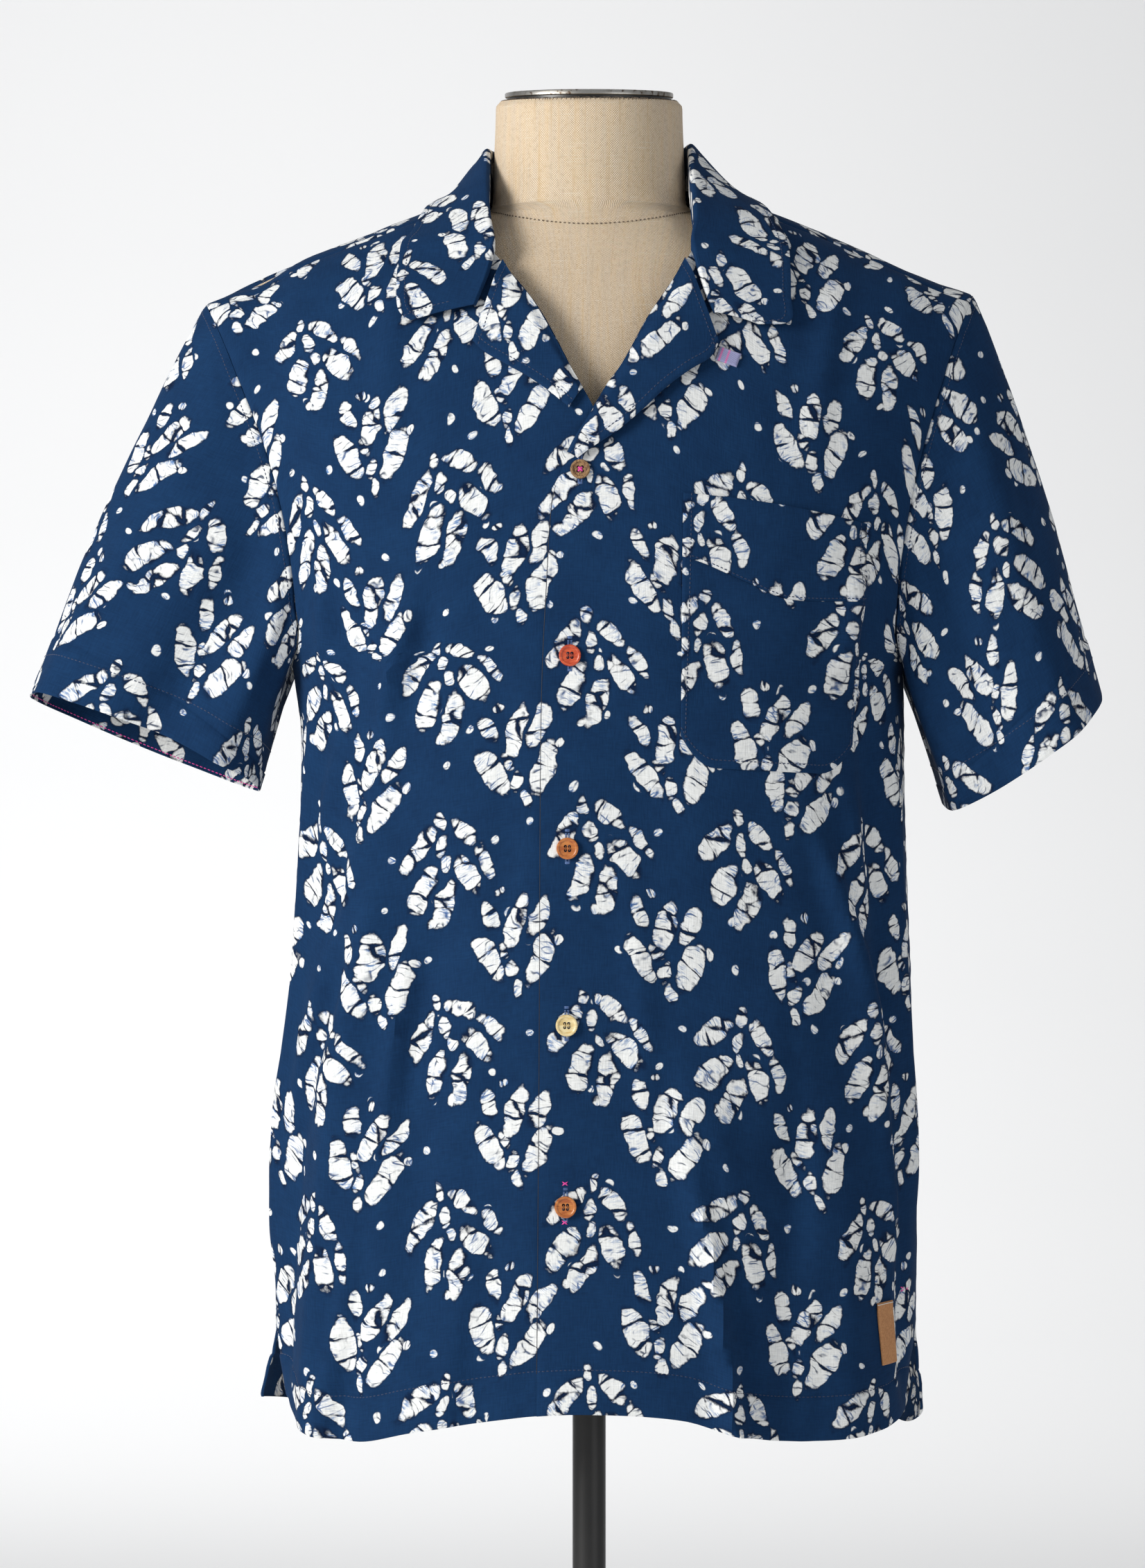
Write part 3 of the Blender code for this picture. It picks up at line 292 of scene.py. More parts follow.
# The chest pocket on the wearer's left: its corners, x and height.
POCKET_TOP_IN, POCKET_TOP_OUT = (53.5, 168), (161, 152)
POCKET_FOOT_IN, POCKET_FOOT_OUT = (50, 10), (155, 5)
POCKET_CORNER = 24.0  # rounding of the pocket's lower corners
POCKET_TOP_RISE = 2.0  # how far the top edge bows up
Seam = namedtuple("Seam", "x height")
BAND_SEAM = [Seam(50, 132), Seam(66, 127), Seam(91, 116), Seam(114, 107), Seam(162, 107)]

# Buttons down the front: height, diameter and x of each.
Button = namedtuple("Button", "x height diameter")
BUTTONS = [
    Button(-5.5, 181, 11.4),
    Button(-11.4, 74, 12.7),
    Button(-12.8, -37, 12.7),
    Button(-13.2, -139, 12.7),
    Button(-13.9, -244, 12.7),
]
BUTTON_THICK = 2.2
BUTTON_LIFT = 0.4  # between the cloth and a button

TAB_CENTRE = (173.0, -323.0)  # leather tab near the hem on the wearer's left
TAB_SIZE, TAB_THICK = (10.0, 37.0), 1.6
TAB_LEAN = 5.0  # degrees
LOOP_CENTRE = (80.0, 247.5)  # ribbon loop at the left lapel's corner
LOOP_SIZE, LOOP_THICK = (13.0, 8.0), 1.3
LOOP_LEAN = -20.0

# The dress form.
FORM_GAP = 0.8  # between the form's shoulder and the shirt
FORM_BOTTOM = -300.0
FormSection = namedtuple("FormSection", "height half_width front back")
FORM = [
    FormSection(-300, 150, 92, 94),
    FormSection(-280, 156, 98, 101),
    FormSection(-200, 160, 100, 104),
    FormSection(-80, 138, 90, 90),
    FormSection(0, 150, 104, 96),
    FormSection(66, 162, 114, 102),
]
FORM_RIDGE_REACH = 213.0  # half width to which the form's shoulder ridge would run
NECK_TOP = 410.0
NECK_SLOPE = tan(radians(5))  # the neck's top slopes down to the front
NECK_SLOPE_FROM = 365.0  # height at which that slope begins
NECK_CLEAR = 352.0  # height from which only the neck is left
NECK_UNION = 14  # exponent that blends the neck into the torso
NECK_SINK, NECK_SINK_REACH = 14.0, 45.0  # how far the form's shoulder falls below the shirt near the neck
FIT_GAP = 0.3  # between parts that stand on each other
NECK_HALF_WIDTH, NECK_HALF_DEPTH = 58.0, 57.0
CAP_RADIUS, CAP_THICK = 50.6, 5.4
POLE_RADIUS = 10.0
BASE_RADIUS, BASE_THICK = 170.0, 8.0
HUB_RADIUS, HUB_TOP = 22.0, 26.0

# The finer creases of the fronts, each a line of places, x and height. A negative depth falls in.
Crease = namedtuple("Crease", "depth width line")
RIDGE_GAIN, VALLEY_GAIN = 2.1, 1.5  # what the depths below are multiplied by
CREASES = [
    Crease(3.2, 5.5, [(-131, -22), (-143, -75), (-155, -115), (-166, -163), (-173, -205)]),
    Crease(-2.6, 6.0, [(-122, -30), (-133, -80), (-145, -122), (-155, -165)]),
    Crease(2.8, 5.0, [(-138, -240), (-143, -308), (-152, -357), (-156, -390)]),
    Crease(-2.2, 6.0, [(-129, -225), (-134, -300), (-143, -357), (-147, -390)]),
    Crease(2.4, 5.0, [(-104, -95), (-114, -156), (-121, -210)]),
    Crease(-1.8, 6.0, [(-95, -95), (-104, -156), (-111, -210)]),
    Crease(2.6, 5.0, [(-97, 124), (-108, 78), (-121, 30)]),
    Crease(-2.2, 6.0, [(-88, 112), (-99, 66), (-112, 22)]),
    Crease(2.4, 4.5, [(-144, 28), (-151, -7), (-156, -46)]),
    Crease(2.6, 5.5, [(-158, 122), (-155, 90), (-147, 52)]),
    Crease(-2.2, 5.5, [(-150, 120), (-146, 88), (-138, 56)]),
    Crease(4.0, 5.5, [(51, -165), (58, -229), (68, -272), (77, -335), (83, -390)]),
    Crease(-4.6, 7.5, [(63, -175), (71, -229), (81, -276), (90, -335), (96, -390)]),
    Crease(2.4, 6.0, [(126, -12), (143, -66), (158, -107), (171, -154), (184, -215)]),
    Crease(-2.2, 6.0, [(137, -18), (153, -66), (168, -107), (180, -150)]),
    Crease(2.0, 5.0, [(151, 4), (154, -38), (159, -80)]),
    Crease(2.2, 7.0, [(158, 128), (152, 96), (146, 60)]),
    Crease(-1.8, 7.0, [(166, 120), (161, 92), (154, 62)]),
    Crease(1.6, 9.0, [(-96, 318), (-112, 282), (-120, 236), (-122, 190)]),
    Crease(1.6, 9.0, [(150, 300), (140, 262), (133, 220), (130, 180)]),
    Crease(-1.4, 8.0, [(-52, 96), (-47, 20), (-49, -60), (-56, -140)]),
    Crease(1.5, 7.0, [(20, -30), (27, -90), (31, -150), (34, -215)]),
    Crease(-1.4, 8.0, [(112, -95), (119, -150), (122, -220), (118, -290)]),
    Crease(1.6, 7.0, [(132, -190), (131, -260), (126, -330), (124, -390)]),
    Crease(1.5, 7.0, [(-62, -210), (-70, -280), (-82, -340), (-88, -395)]),
    Crease(-1.3, 7.0, [(-30, -250), (-33, -320), (-40, -390)]),
]
HEM_DEPTH = 26.0  # turned up and stitched along the hem
CUFF_DEPTH = 25.0
TACKS = [(-14.2, -230.5), (-14.4, -253.0), (189.0, -300.0)]  # pink tacks, by x and height
RIPPLE = 1.5  # height of the cloth's own soft unevenness


def ease(t):
    t = np.clip(t, 0.0, 1.0)
    return t * t * (3 - 2 * t)


def mix(a, b, t):
    return a + (b - a) * t


def bell(x, width):
    return np.exp(-((x / width) ** 2))


def sind(angle):
    return np.sin(np.radians(angle))


def cosd(angle):
    return np.cos(np.radians(angle))


def read(table, key, column, at):
    """A table's column at a key, on a smooth curve through its rows."""
    keys = np.array([getattr(row, key) for row in table], float)
    values = np.array([getattr(row, column) for row in table], float)
    at = np.clip(at, keys[0], keys[-1])
    i = np.clip(np.searchsorted(keys, at, side="right") - 1, 0, len(keys) - 2)
    order = np.arange(len(keys))
    low, high = np.maximum(order - 1, 0), np.minimum(order + 1, len(keys) - 1)
    slopes = (values[high] - values[low]) / (keys[high] - keys[low])
    span = keys[i + 1] - keys[i]
    t = (at - keys[i]) / span
    return (
        values[i] * (1 + 2 * t) * (1 - t) ** 2
        + values[i + 1] * t * t * (3 - 2 * t)
        + slopes[i] * span * t * (1 - t) ** 2
        - slopes[i + 1] * span * t * t * (1 - t)
    )


def ridge_height(x):
    left, right = (read(RIDGE, "distance", side, np.abs(x)) for side in ("left", "right"))
    return np.where(np.asarray(x) < 0, left, right)


def body_half(facing, height):
    left, right = (read(BODY, "height", side, height) for side in ("left", "right"))
    return np.where(np.asarray(facing) < 0, left, right)


def climb_of(rise):
    return sind(90 * np.clip(rise, 0, 1)) ** BEND


def half_width(facing, rise):
    return mix(body_half(facing, UNDERARM), RIDGE_REACH, climb_of(rise))


def bare(turn, rise):
    """The shirt's body before its folds, in millimetres, with z from the floor."""
    turn, rise = np.broadcast_arrays(np.asarray(turn, float), np.asarray(rise, float))
    across, along = sind(turn), cosd(turn)
    climb = climb_of(rise)
    height = UNDERARM + np.minimum(rise, 0) * (UNDERARM - read(HEM_LINE, "turn", "height", turn))
    wide = mix(body_half(turn, height), RIDGE_REACH, climb)
    x = wide * np.sign(across) * np.abs(across) ** BEND
    front, back = (read(BODY, "height", column, height) for column in ("front", "back"))
    deep = np.where(along >= 0, -front, back)
    y = deep * np.abs(along) ** BEND * np.abs(cosd(90 * np.clip(rise, 0, 1))) ** BEND
    z = np.where(rise > 0, UNDERARM + (ridge_height(x) - UNDERARM) * climb, height)
    return np.stack([x, y, z + DATUM], axis=-1)


def unit(vectors):
    return vectors / np.maximum(np.linalg.norm(vectors, axis=-1, keepdims=True), 1e-9)


def pushed(places, normals, lift):
    """Places moved out along their normals."""
    return places + normals * lift[..., None]


def run_along(path):
    """The length of a path up to each of its points."""
    return np.r_[0, np.cumsum(np.linalg.norm(np.diff(path, axis=0), axis=1))]


def outward(turn, rise):
    turn, rise = np.broadcast_arrays(np.asarray(turn, float), np.asarray(rise, float))
    low = np.where(rise != 0, np.maximum(rise - 0.006, -1.0), 0.0)
    high = np.minimum(rise + 0.006, 0.999)
    across = bare(turn + 0.6, rise) - bare(turn - 0.6, rise)
    up = bare(turn, high) - bare(turn, low)
    return unit(np.cross(across, up))


def turn_of(x, reach):
    share = np.minimum(1.0, np.abs(x) / reach)
    return np.degrees(np.arcsin(share ** (1 / BEND))) * np.where(np.asarray(x) >= 0, 1, -1)


def front_place(x, height):
    """The turn and rise of a place on the front, from its x and height as seen from the front."""
    x, height = np.broadcast_arrays(np.asarray(x, float), np.asarray(height, float))
    climb = np.clip((height - UNDERARM) / (ridge_height(x) - UNDERARM), 0, 1)
    rise = np.degrees(np.arcsin(climb ** (1 / BEND))) / 90
    wide = mix(body_half(x, np.minimum(height, UNDERARM)), RIDGE_REACH, climb)
    turn = turn_of(x, wide)
    below = (height - UNDERARM) / (UNDERARM - read(HEM_LINE, "turn", "height", turn))
    return turn, np.where(height >= UNDERARM, rise, below)


def fold_lift(turn, height):
    """How far the folds push the cloth out at a place on the body."""
    total = 0.0
    for fold in BODY_FOLDS:
        t = (height - fold.top) / (fold.bottom - fold.top)
        fade = np.where(t <= 0, 0.0, ease(np.abs(height - fold.top) / FOLD_FADE))
        fade = fade * np.where(t > 1, 1 - ease(np.abs(height - fold.bottom) / FOLD_FADE), 1.0)
        off = (turn - mix(fold.top_turn, fold.bottom_turn, t)) * PER_DEGREE
        total = total + fold.depth * fade * bell(off, fold.width)
    return total


def vent_shift(turn, height, back):
    drop = ease((VENT_TOP - height) / 60.0)
    near_side = ease(1 - np.abs(90 - np.abs(turn)) / 22.0)
    flare = np.where(turn < 0, BACK_VENT_FLARES["left"], BACK_VENT_FLARES["right"])
    return drop * near_side * (flare if back else -FRONT_VENT_TUCK)


def crease_lift(x, height):
    """The finer creases at places of the front, each fading out at its two ends."""
    total = np.zeros(np.broadcast(x, height).shape)
    for crease in CREASES:
        near = np.full(total.shape, 1e9)
        fade = np.zeros(total.shape)
        ends = np.array(crease.line, float)
        run = run_along(ends)
        for k in range(len(ends) - 1):
            a, b = ends[k], ends[k + 1]
            along = b - a
            t = np.clip(((x - a[0]) * along[0] + (height - a[1]) * along[1]) / (along @ along), 0, 1)
            off = np.hypot(x - a[0] - t * along[0], height - a[1] - t * along[1])
            share = (run[k] + t * (run[k + 1] - run[k])) / run[-1]
            closer = off < near
            near = np.where(closer, off, near)
            to_hem = ends[-1, 1] < -370
            ending = np.sin(pi * share * (0.5 if to_hem else 1.0)) ** 0.8
            fade = np.where(closer, ending, fade)
        gain = RIDGE_GAIN if crease.depth > 0 else VALLEY_GAIN
        total += gain * crease.depth * fade * bell(near, crease.width)
    return total


def ripple(places, size=1.0):
    """Soft unevenness of hanging cloth, longer up and down than across."""
    flat = places.reshape(-1, 3)
    broad = [noise.noise(Vector((p[0] / 34, p[1] / 34, p[2] / 120))) for p in flat]
    fine = [noise.noise(Vector((p[0] / 13 + 7, p[1] / 13, p[2] / 31))) for p in flat]
    return size * RIPPLE * (np.array(broad) + 0.33 * np.array(fine)).reshape(places.shape[:-1])


def lap_lift(x):
    return (CLOTH + LAY_GAP) * (1 - ease((x - LAP_END) / LAP_FADE))


def front_lift(turn, places, lapping):
    """All that pushes a front's inner face out from the bare body."""
    x, height = places[..., 0], places[..., 2] - DATUM
    total = fold_lift(turn, height) + vent_shift(turn, height, back=False)
    total = total + crease_lift(x, height) + ripple(places)
    return total + (lap_lift(x) if lapping else 0.0)


def front_point(x, height, lift, lapping=True):
    """Points over a front, lift millimetres out from that front's inner face, and the outward normals."""
    turn, rise = front_place(x, height)
    places = bare(turn, rise)
    normals = outward(turn, rise)
    return pushed(places, normals, front_lift(turn, places, lapping) + lift), normals


def armhole_turn(rise):
    return read(ARMHOLE, "rise", "turn", rise)


def edge_turn(edge, rise):
    """The turn at which a front's opening edge crosses each rise."""
    x = read(edge, "height", "x", UNDERARM) + 0 * rise
    for _ in range(14):
        climb = climb_of(rise)
        height = np.where(rise > 0, UNDERARM + (ridge_height(x) - UNDERARM) * climb, 0)
        height = np.where(rise > 0, height, UNDERARM + rise * (UNDERARM - HEM_LINE[8].height))
        reach = mix(body_half(x, np.minimum(height, UNDERARM)), RIDGE_REACH, climb)
        x = read(edge, "height", "x", height)
    return turn_of(x, reach)


def over_places(x, over):
    """Bare points by x and the way over the shoulder: -1 the front underarm, 0 the ridge, +1 the back."""
    x, over = np.broadcast_arrays(np.asarray(x, float), np.asarray(over, float))
    rise = 1 - np.abs(over)
    turn = turn_of(x, half_width(x, rise))
    turn = np.where(over > 0, np.where(x >= 0, 180, -180) - turn, turn)
    return bare(turn, rise), turn


def over_at(x, y):
    """The way over the shoulder at which the upper body passes over places in plan."""
    x, y = np.broadcast_arrays(np.asarray(x, float), np.asarray(y, float))
    low, high = np.zeros(x.shape), np.ones(x.shape)
    for _ in range(30):
        middle = (low + high) / 2
        spot, _ = over_places(x, np.where(y > 0, middle, -middle))
        short = np.abs(spot[..., 1]) < np.abs(y)
        low, high = np.where(short, middle, low), np.where(short, high, middle)
    return np.where(y > 0, low, -low)


def neckline(angle):
    across = cosd(angle)
    across = np.where(sind(angle) < 0, np.sign(across), across)
    return NECK_SIDE * across, NECK_MIDDLE + NECK_BACK * sind(angle)


def armhole_x(side, over):
    rise = 1 - np.abs(over)
    return half_width(side, rise) * sind(armhole_turn(rise)) ** BEND * side


# Grids of points


def grid_normals(grid, ring=False):
    if ring:
        across = np.roll(grid, -1, axis=1) - np.roll(grid, 1, axis=1)
    else:
        across = np.gradient(grid, axis=1)
    return unit(np.cross(across, np.gradient(grid, axis=0)))


def outward_normals(grid, ring=False):
    """Normals that point away from the body's or the tube's middle."""
    normals = grid_normals(grid, ring)
    middle = grid.mean(axis=1, keepdims=True) if ring else np.array([0, 0, 0]) * grid[:1, :1]
    away = grid - middle
    if not ring:
        away[..., 2] = 0
    sign = np.sign((normals * away).sum())
    return normals * (sign if sign else 1)


def spread(count, near_start=(), near_end=(), length=1.0):
    """Even shares from 0 to 1, with more of them near the ends at the given distances."""
    extra = [d / length for d in near_start] + [1 - d / length for d in near_end]
    even = [k / count for k in range(count + 1)]
    kept = [s for s in even if all(abs(s - e) > 0.35 / count for e in extra) or s in (0, 1)]
    return np.array(sorted(set(kept + extra)))


def closed(ring):
    """A grid whose rows run round, with its first column again at the end."""
    return np.concatenate([ring, ring[:, :1]], axis=1)


def cloth_size(grid):
    """For each point of a grid, how far along its row and its column it lies on the cloth."""
    across = np.linalg.norm(np.diff(grid, axis=1), axis=2)
    up = np.linalg.norm(np.diff(grid, axis=0), axis=2)
    u = np.pad(np.cumsum(across, axis=1), ((0, 0), (1, 0)))
    v = np.pad(np.cumsum(up, axis=0), ((1, 0), (0, 0)))
    return u, v


def finer(grid, times, axis):
    """A smooth grid through a coarse one, with more points along an axis."""
    grid = np.moveaxis(np.asarray(grid, float), axis, 0)
    count = len(grid)
    at = np.linspace(0, count - 1, (count - 1) * times + 1)
    k = np.clip(at.astype(int), 0, count - 2)
    t = (at - k).reshape((-1,) + (1,) * (grid.ndim - 1))
    before, after = np.maximum(k - 1, 0), np.minimum(k + 2, count - 1)
    a, b, c, d = grid[before], grid[k], grid[k + 1], grid[after]
    smooth = b + 0.5 * t * (c - a + t * (2 * a - 5 * b + 4 * c - d + t * (3 * (b - c) + d - a)))
    return np.moveaxis(smooth, 0, axis)


# Making pieces


def finish_piece(obj, slot, *nodes, body="root"):
    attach(obj, body)
    if nodes:
        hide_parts(*nodes)
    return obj


def mesh_piece(name, points, faces, finish, uvs=None, angle=55):
    """An object from points in millimetres. uvs holds one place on the cloth for each face corner."""
    mesh = bpy.data.meshes.new(name)
    mesh.from_pydata((np.asarray(points) / 1000).tolist(), [], [list(map(int, f)) for f in faces])
    if uvs is not None:
        layer = mesh.uv_layers.new(name="cloth")
        layer.data.foreach_set("uv", np.asarray(uvs, float).ravel())
    mesh.materials.append(material(finish))
    mesh.shade_smooth()
    mesh.set_sharp_from_angle(angle=radians(angle))
    mesh.validate()
    obj = bpy.data.objects.new(name, mesh)
    bpy.context.scene.collection.objects.link(obj)
    return obj


def cloth_piece(name, outer, inner, finish, uv, ring=False, angle=55):
    """A closed thin wall between two grids of points, with the cloth's own millimetres as its UV map."""
    rows, columns = outer.shape[:2]
    steps = columns if ring else columns - 1
    j, i = np.meshgrid(np.arange(rows - 1), np.arange(steps), indexing="ij")
    j, i = j.ravel(), i.ravel()
    k = (i + 1) % columns
    count = rows * columns
    quads = np.stack([j * columns + i, j * columns + k, (j + 1) * columns + k, (j + 1) * columns + i], axis=1)
    corners = np.stack([uv[j, i], uv[j, i + 1], uv[j + 1, i + 1], uv[j + 1, i]], axis=1)
    faces = [quads, quads[:, ::-1] + count]
    places = [corners, corners[:, ::-1]]
    for row, flip in ((0, True), (rows - 1, False)):
        i = np.arange(steps)
        k = (i + 1) % columns
        rim = np.stack([row * columns + i, row * columns + k, row * columns + k + count], axis=1)
        rim = np.concatenate([rim, (row * columns + i + count)[:, None]], axis=1)
        spot = np.stack([uv[row, i], uv[row, i + 1], uv[row, i + 1], uv[row, i]], axis=1)
        faces.append(rim[:, ::-1] if flip else rim)
        places.append(spot[:, ::-1] if flip else spot)
    if not ring:
        for column, flip in ((0, False), (columns - 1, True)):
            j = np.arange(rows - 1)
            rim = np.stack([j * columns + column, (j + 1) * columns + column], axis=1)
            rim = np.concatenate([rim, rim[:, ::-1] + count], axis=1)
            spot = np.stack([uv[j, column], uv[j + 1, column], uv[j + 1, column], uv[j, column]], axis=1)
            faces.append(rim[:, ::-1] if flip else rim)
            places.append(spot[:, ::-1] if flip else spot)
    points = np.concatenate([outer.reshape(-1, 3), inner.reshape(-1, 3)])
    obj = mesh_piece(name, points, np.concatenate(faces), finish, np.concatenate(places), angle)
    bm = bmesh.new()
    bm.from_mesh(obj.data)
    bmesh.ops.recalc_face_normals(bm, faces=bm.faces)
    bm.to_mesh(obj.data)
    bm.free()
    return obj


def sew(name, outer, inner, normals, uv, ring=False):
    """The cloth that replaces a solid, with the grid of its outer face and that grid's normals."""
    obj = cloth_piece(name + "_cloth", outer, inner, "batik_cotton", uv, ring)
    finish_piece(obj, "shirt_cotton", name)
    return obj, outer, normals


def stitch_points(path, normals, pitch, skip=0.0):
    """Middles, directions and normals of stitches at an even pitch along a path."""
    steps = np.linalg.norm(np.diff(path, axis=0), axis=1)
    run = np.r_[0, np.cumsum(steps)]
    at = np.arange(pitch / 2 + skip, run[-1] - skip, pitch)
    spots = np.stack([np.interp(at, run, path[:, k]) for k in range(3)], axis=1)
    ahead = np.stack([np.interp(at + 0.5, run, path[:, k]) for k in range(3)], axis=1)
    behind = np.stack([np.interp(at - 0.5, run, path[:, k]) for k in range(3)], axis=1)
    out = unit(np.stack([np.interp(at, run, normals[:, k]) for k in range(3)], axis=1))
    return spots, unit(ahead - behind), out


def stitching(name, runs, finish, slot="shirt_cotton"):
    """Stitches as short spindles of thread.

    A run is a path, its normals, the pitch, and a stitch's length, thickness and height over the path.
    """
    points, faces = [], []
    for path, normals, pitch, length, thick, proud in runs:
        spots, along, out = stitch_points(np.asarray(path), np.asarray(normals), pitch)
        side = unit(np.cross(out, along))
        spots = spots + out * proud
        for s, a, b, c in zip(spots, along, side, out):
            base = len(points)
            points += [s - a * length / 2 - c * thick / 3]
            for reach in (-0.28, 0.28):
                for across, up in ((1, 0), (0, 1), (-1, 0), (0, -1)):
                    points.append(s + a * length * reach + (b * across + c * up) * thick / 2)
            points += [s + a * length / 2 - c * thick / 3]
            for k in range(4):
                m = (k + 1) % 4
                faces.append((base, base + 1 + m, base + 1 + k))
                faces.append((base + 1 + k, base + 1 + m, base + 5 + m))
                faces.append((base + 1 + k, base + 5 + m, base + 5 + k))
                faces.append((base + 9, base + 5 + k, base + 5 + m))
    return finish_piece(mesh_piece(name, points, faces, finish, angle=80), slot)


def from_bottom(outer, normals, distance, top=False):
    """The line across a grid that lies a given way up its columns from the bottom row."""
    grid, around = (outer[::-1], normals[::-1]) if top else (outer, normals)
    _, v = cloth_size(grid)
    path, out = [], []
    for i in range(grid.shape[1]):
        path.append([np.interp(distance, v[:, i], grid[:, i, k]) for k in range(3)])
        out.append([np.interp(distance, v[:, i], around[:, i, k]) for k in range(3)])
    return np.array(path), np.array(out)


def from_side(outer, normals, distance, last=False):
    return from_bottom(np.swapaxes(outer, 0, 1), np.swapaxes(normals, 0, 1), distance, top=last)


# The cloth pieces

BACK_PRINT, SLEEVE_PRINT, COLLAR_PRINT, LAPEL_PRINT = 900, 1400, 300, 700  # where on the print each is cut
SLEEVE_WALL = 0.95  # thickness of the sleeves' cloth
COLLAR_FINER = 5  # steps of the fine collar grid for one of the coarse one
ROLL_COLUMN = 3  # column of the coarse collar grid that lies on the roll
FALL_START = 30  # column of the fine collar grid from which its ends are stitched
SEAM_MARGIN = 5.0  # from an edge to the stitches beside it
STITCH_SHARE = 0.78  # length of a stitch for a pitch of 1
STITCH_PROUD = 0.05  # how far a stitch's middle stands off the cloth


def hem_relief(distance, along):
    """The doubled hem below its stitching: a step, a groove at the stitches and small puckers."""
    step = 0.55 * ease((HEM_DEPTH - distance) / 2.0)
    groove = -0.5 * bell(distance - HEM_DEPTH, 1.6)
    pucker = 0.35 * np.sin(along / 2.3 + 1.7 * np.sin(along / 9.0)) * bell(distance - HEM_DEPTH, 7.0)
    rolled = -0.5 * bell(distance, 0.9)
    return step + groove + pucker + rolled


def seam_dip(distance, depth=0.9, width=1.3):
    """Where a panel's edge turns down into its seam."""
    return -depth * bell(distance, width)


def seam_pucker(along, distance):
    """The small puckers that a seam's stitches draw beside it."""
    return 0.22 * np.sin(along / 2.6 + np.sin(along / 11)) * bell(distance - 4, 5.0)


def lower_rises():
    """Rows below the underarm, closer at the hem's fold and at its stitches."""
    span = UNDERARM - HEM
    hem = np.array([0, 0.8, 1.8, 4, 8, 13, 18, 22, 24, 25.2, 26, 26.8, 28, 30.5, 34])
    return -1 + np.r_[hem, np.arange(38.5, span - 2, 4.5)] / span


def front_rises():
    seam = np.r_[0, 0.008, 0.018, 0.03, 0.045, 0.06, 0.08]
    return np.r_[lower_rises(), seam, np.arange(0.1, 0.85, 0.0195), 0.852, SHOULDER_SEAM_RISE]


def front_cloth(name, edge, side, lapping):
    rises = front_rises()
    share = spread(56, near_start=(0.8, 2.0), near_end=(0.8, 1.8, 3.2, 5.5), length=230)
    start = edge_turn(edge, rises)
    end = side * np.where(rises > 0, armhole_turn(rises), 90.0)
    turn = start[:, None] + (end - start)[:, None] * share[None, :]
    places = bare(turn, rises[:, None])
    normals = outward(turn, np.broadcast_to(rises[:, None], turn.shape))
    u, v = cloth_size(places)
    lift = front_lift(turn, places, lapping)
    lift = lift + hem_relief(v, u) * ease((60 - v) / 20)
    to_side = u[:, -1:] - u
    lift = lift + seam_dip(to_side) + seam_dip(v[-1:] - v)
    lift = lift + seam_pucker(v, to_side)
    inner = pushed(places, normals, lift + INNER_FACE)
    outer = pushed(places, normals, lift + CLOTH)
    uv = np.stack([side * u + places[:, :1, 0], v], axis=-1)
    return sew(name, outer, inner, normals, uv)


def back_cloth():
    """The back, from the hem up over both shoulders to the shoulder seams, and round the neck."""
    seam = OVER_ROWS[-1]
    depth = over_places(NECK_SIDE, seam)[0][1]
    corner = degrees(np.arcsin((depth - NECK_MIDDLE) / NECK_BACK))
    shoulder = spread(30, near_start=(0.8, 1.8, 3.2, 5.5), length=165)
    neck = np.linspace(0, 1, 41)[1:-1]
    share = np.r_[shoulder * 0.62, 0.62 + neck * 0.76, 2 - 0.62 * shoulder[::-1]] - 1
    neck_x, neck_y = neckline(mix(180 - corner, corner, neck))
    side_left, side_right = armhole_x(-1, seam), armhole_x(1, seam)
    top_x = np.r_[mix(side_left, -NECK_SIDE, shoulder), neck_x, mix(side_right, NECK_SIDE, shoulder[::-1])]
    top_over = np.r_[np.full(len(shoulder), seam), over_at(neck_x, neck_y), np.full(len(shoulder), seam)]
    side = np.where(share < 0, -1, 1)
    lower = lower_rises()
    lower_turn = np.where(share >= 0, 180, -180) - share * 90.0
    low = bare(lower_turn[None, :] + 0 * lower[:, None], lower[:, None])
    part = np.r_[0, 0.008, 0.018, 0.03, 0.05, np.arange(0.07, 0.985, 0.0165), 0.99, 1.0][:, None]
    over = mix(1.0, top_over[None, :], part)
    low_x = armhole_x(side[None, :], over) * mix(sind(90 * np.abs(share)) ** BEND, np.abs(share), part)
    top_share = np.abs(top_x / armhole_x(side, top_over))
    x = mix(low_x, armhole_x(side[None, :], over) * top_share[None, :], ease(part))
    high, high_turn = over_places(x, over)
    places = np.concatenate([low, high])
    turn = np.concatenate([lower_turn[None, :] + 0 * lower[:, None], high_turn])
    normals = outward_normals(places)
    u, v = cloth_size(places)
    height = places[..., 2] - DATUM
    on_back = places[..., 1] > -12
    lift = fold_lift(turn, height) + vent_shift(turn, height, back=True) + ripple(places)
    lift = np.where(on_back, lift, fold_lift(turn, height) + ripple(places))
    lift = lift + hem_relief(v, u) * ease((60 - v) / 20)
    from_edges = np.minimum(u, u[:, -1:] - u)
    lift = lift + seam_dip(from_edges) + seam_dip(v[-1:] - v)
    lift = lift + seam_pucker(v, from_edges)
    inner = pushed(places, normals, lift + INNER_FACE)
    outer = pushed(places, normals, lift + CLOTH)
    uv = np.stack([u - u[:, -1:] / 2 + BACK_PRINT, v], axis=-1)
    return sew("back", outer, inner, normals, uv)


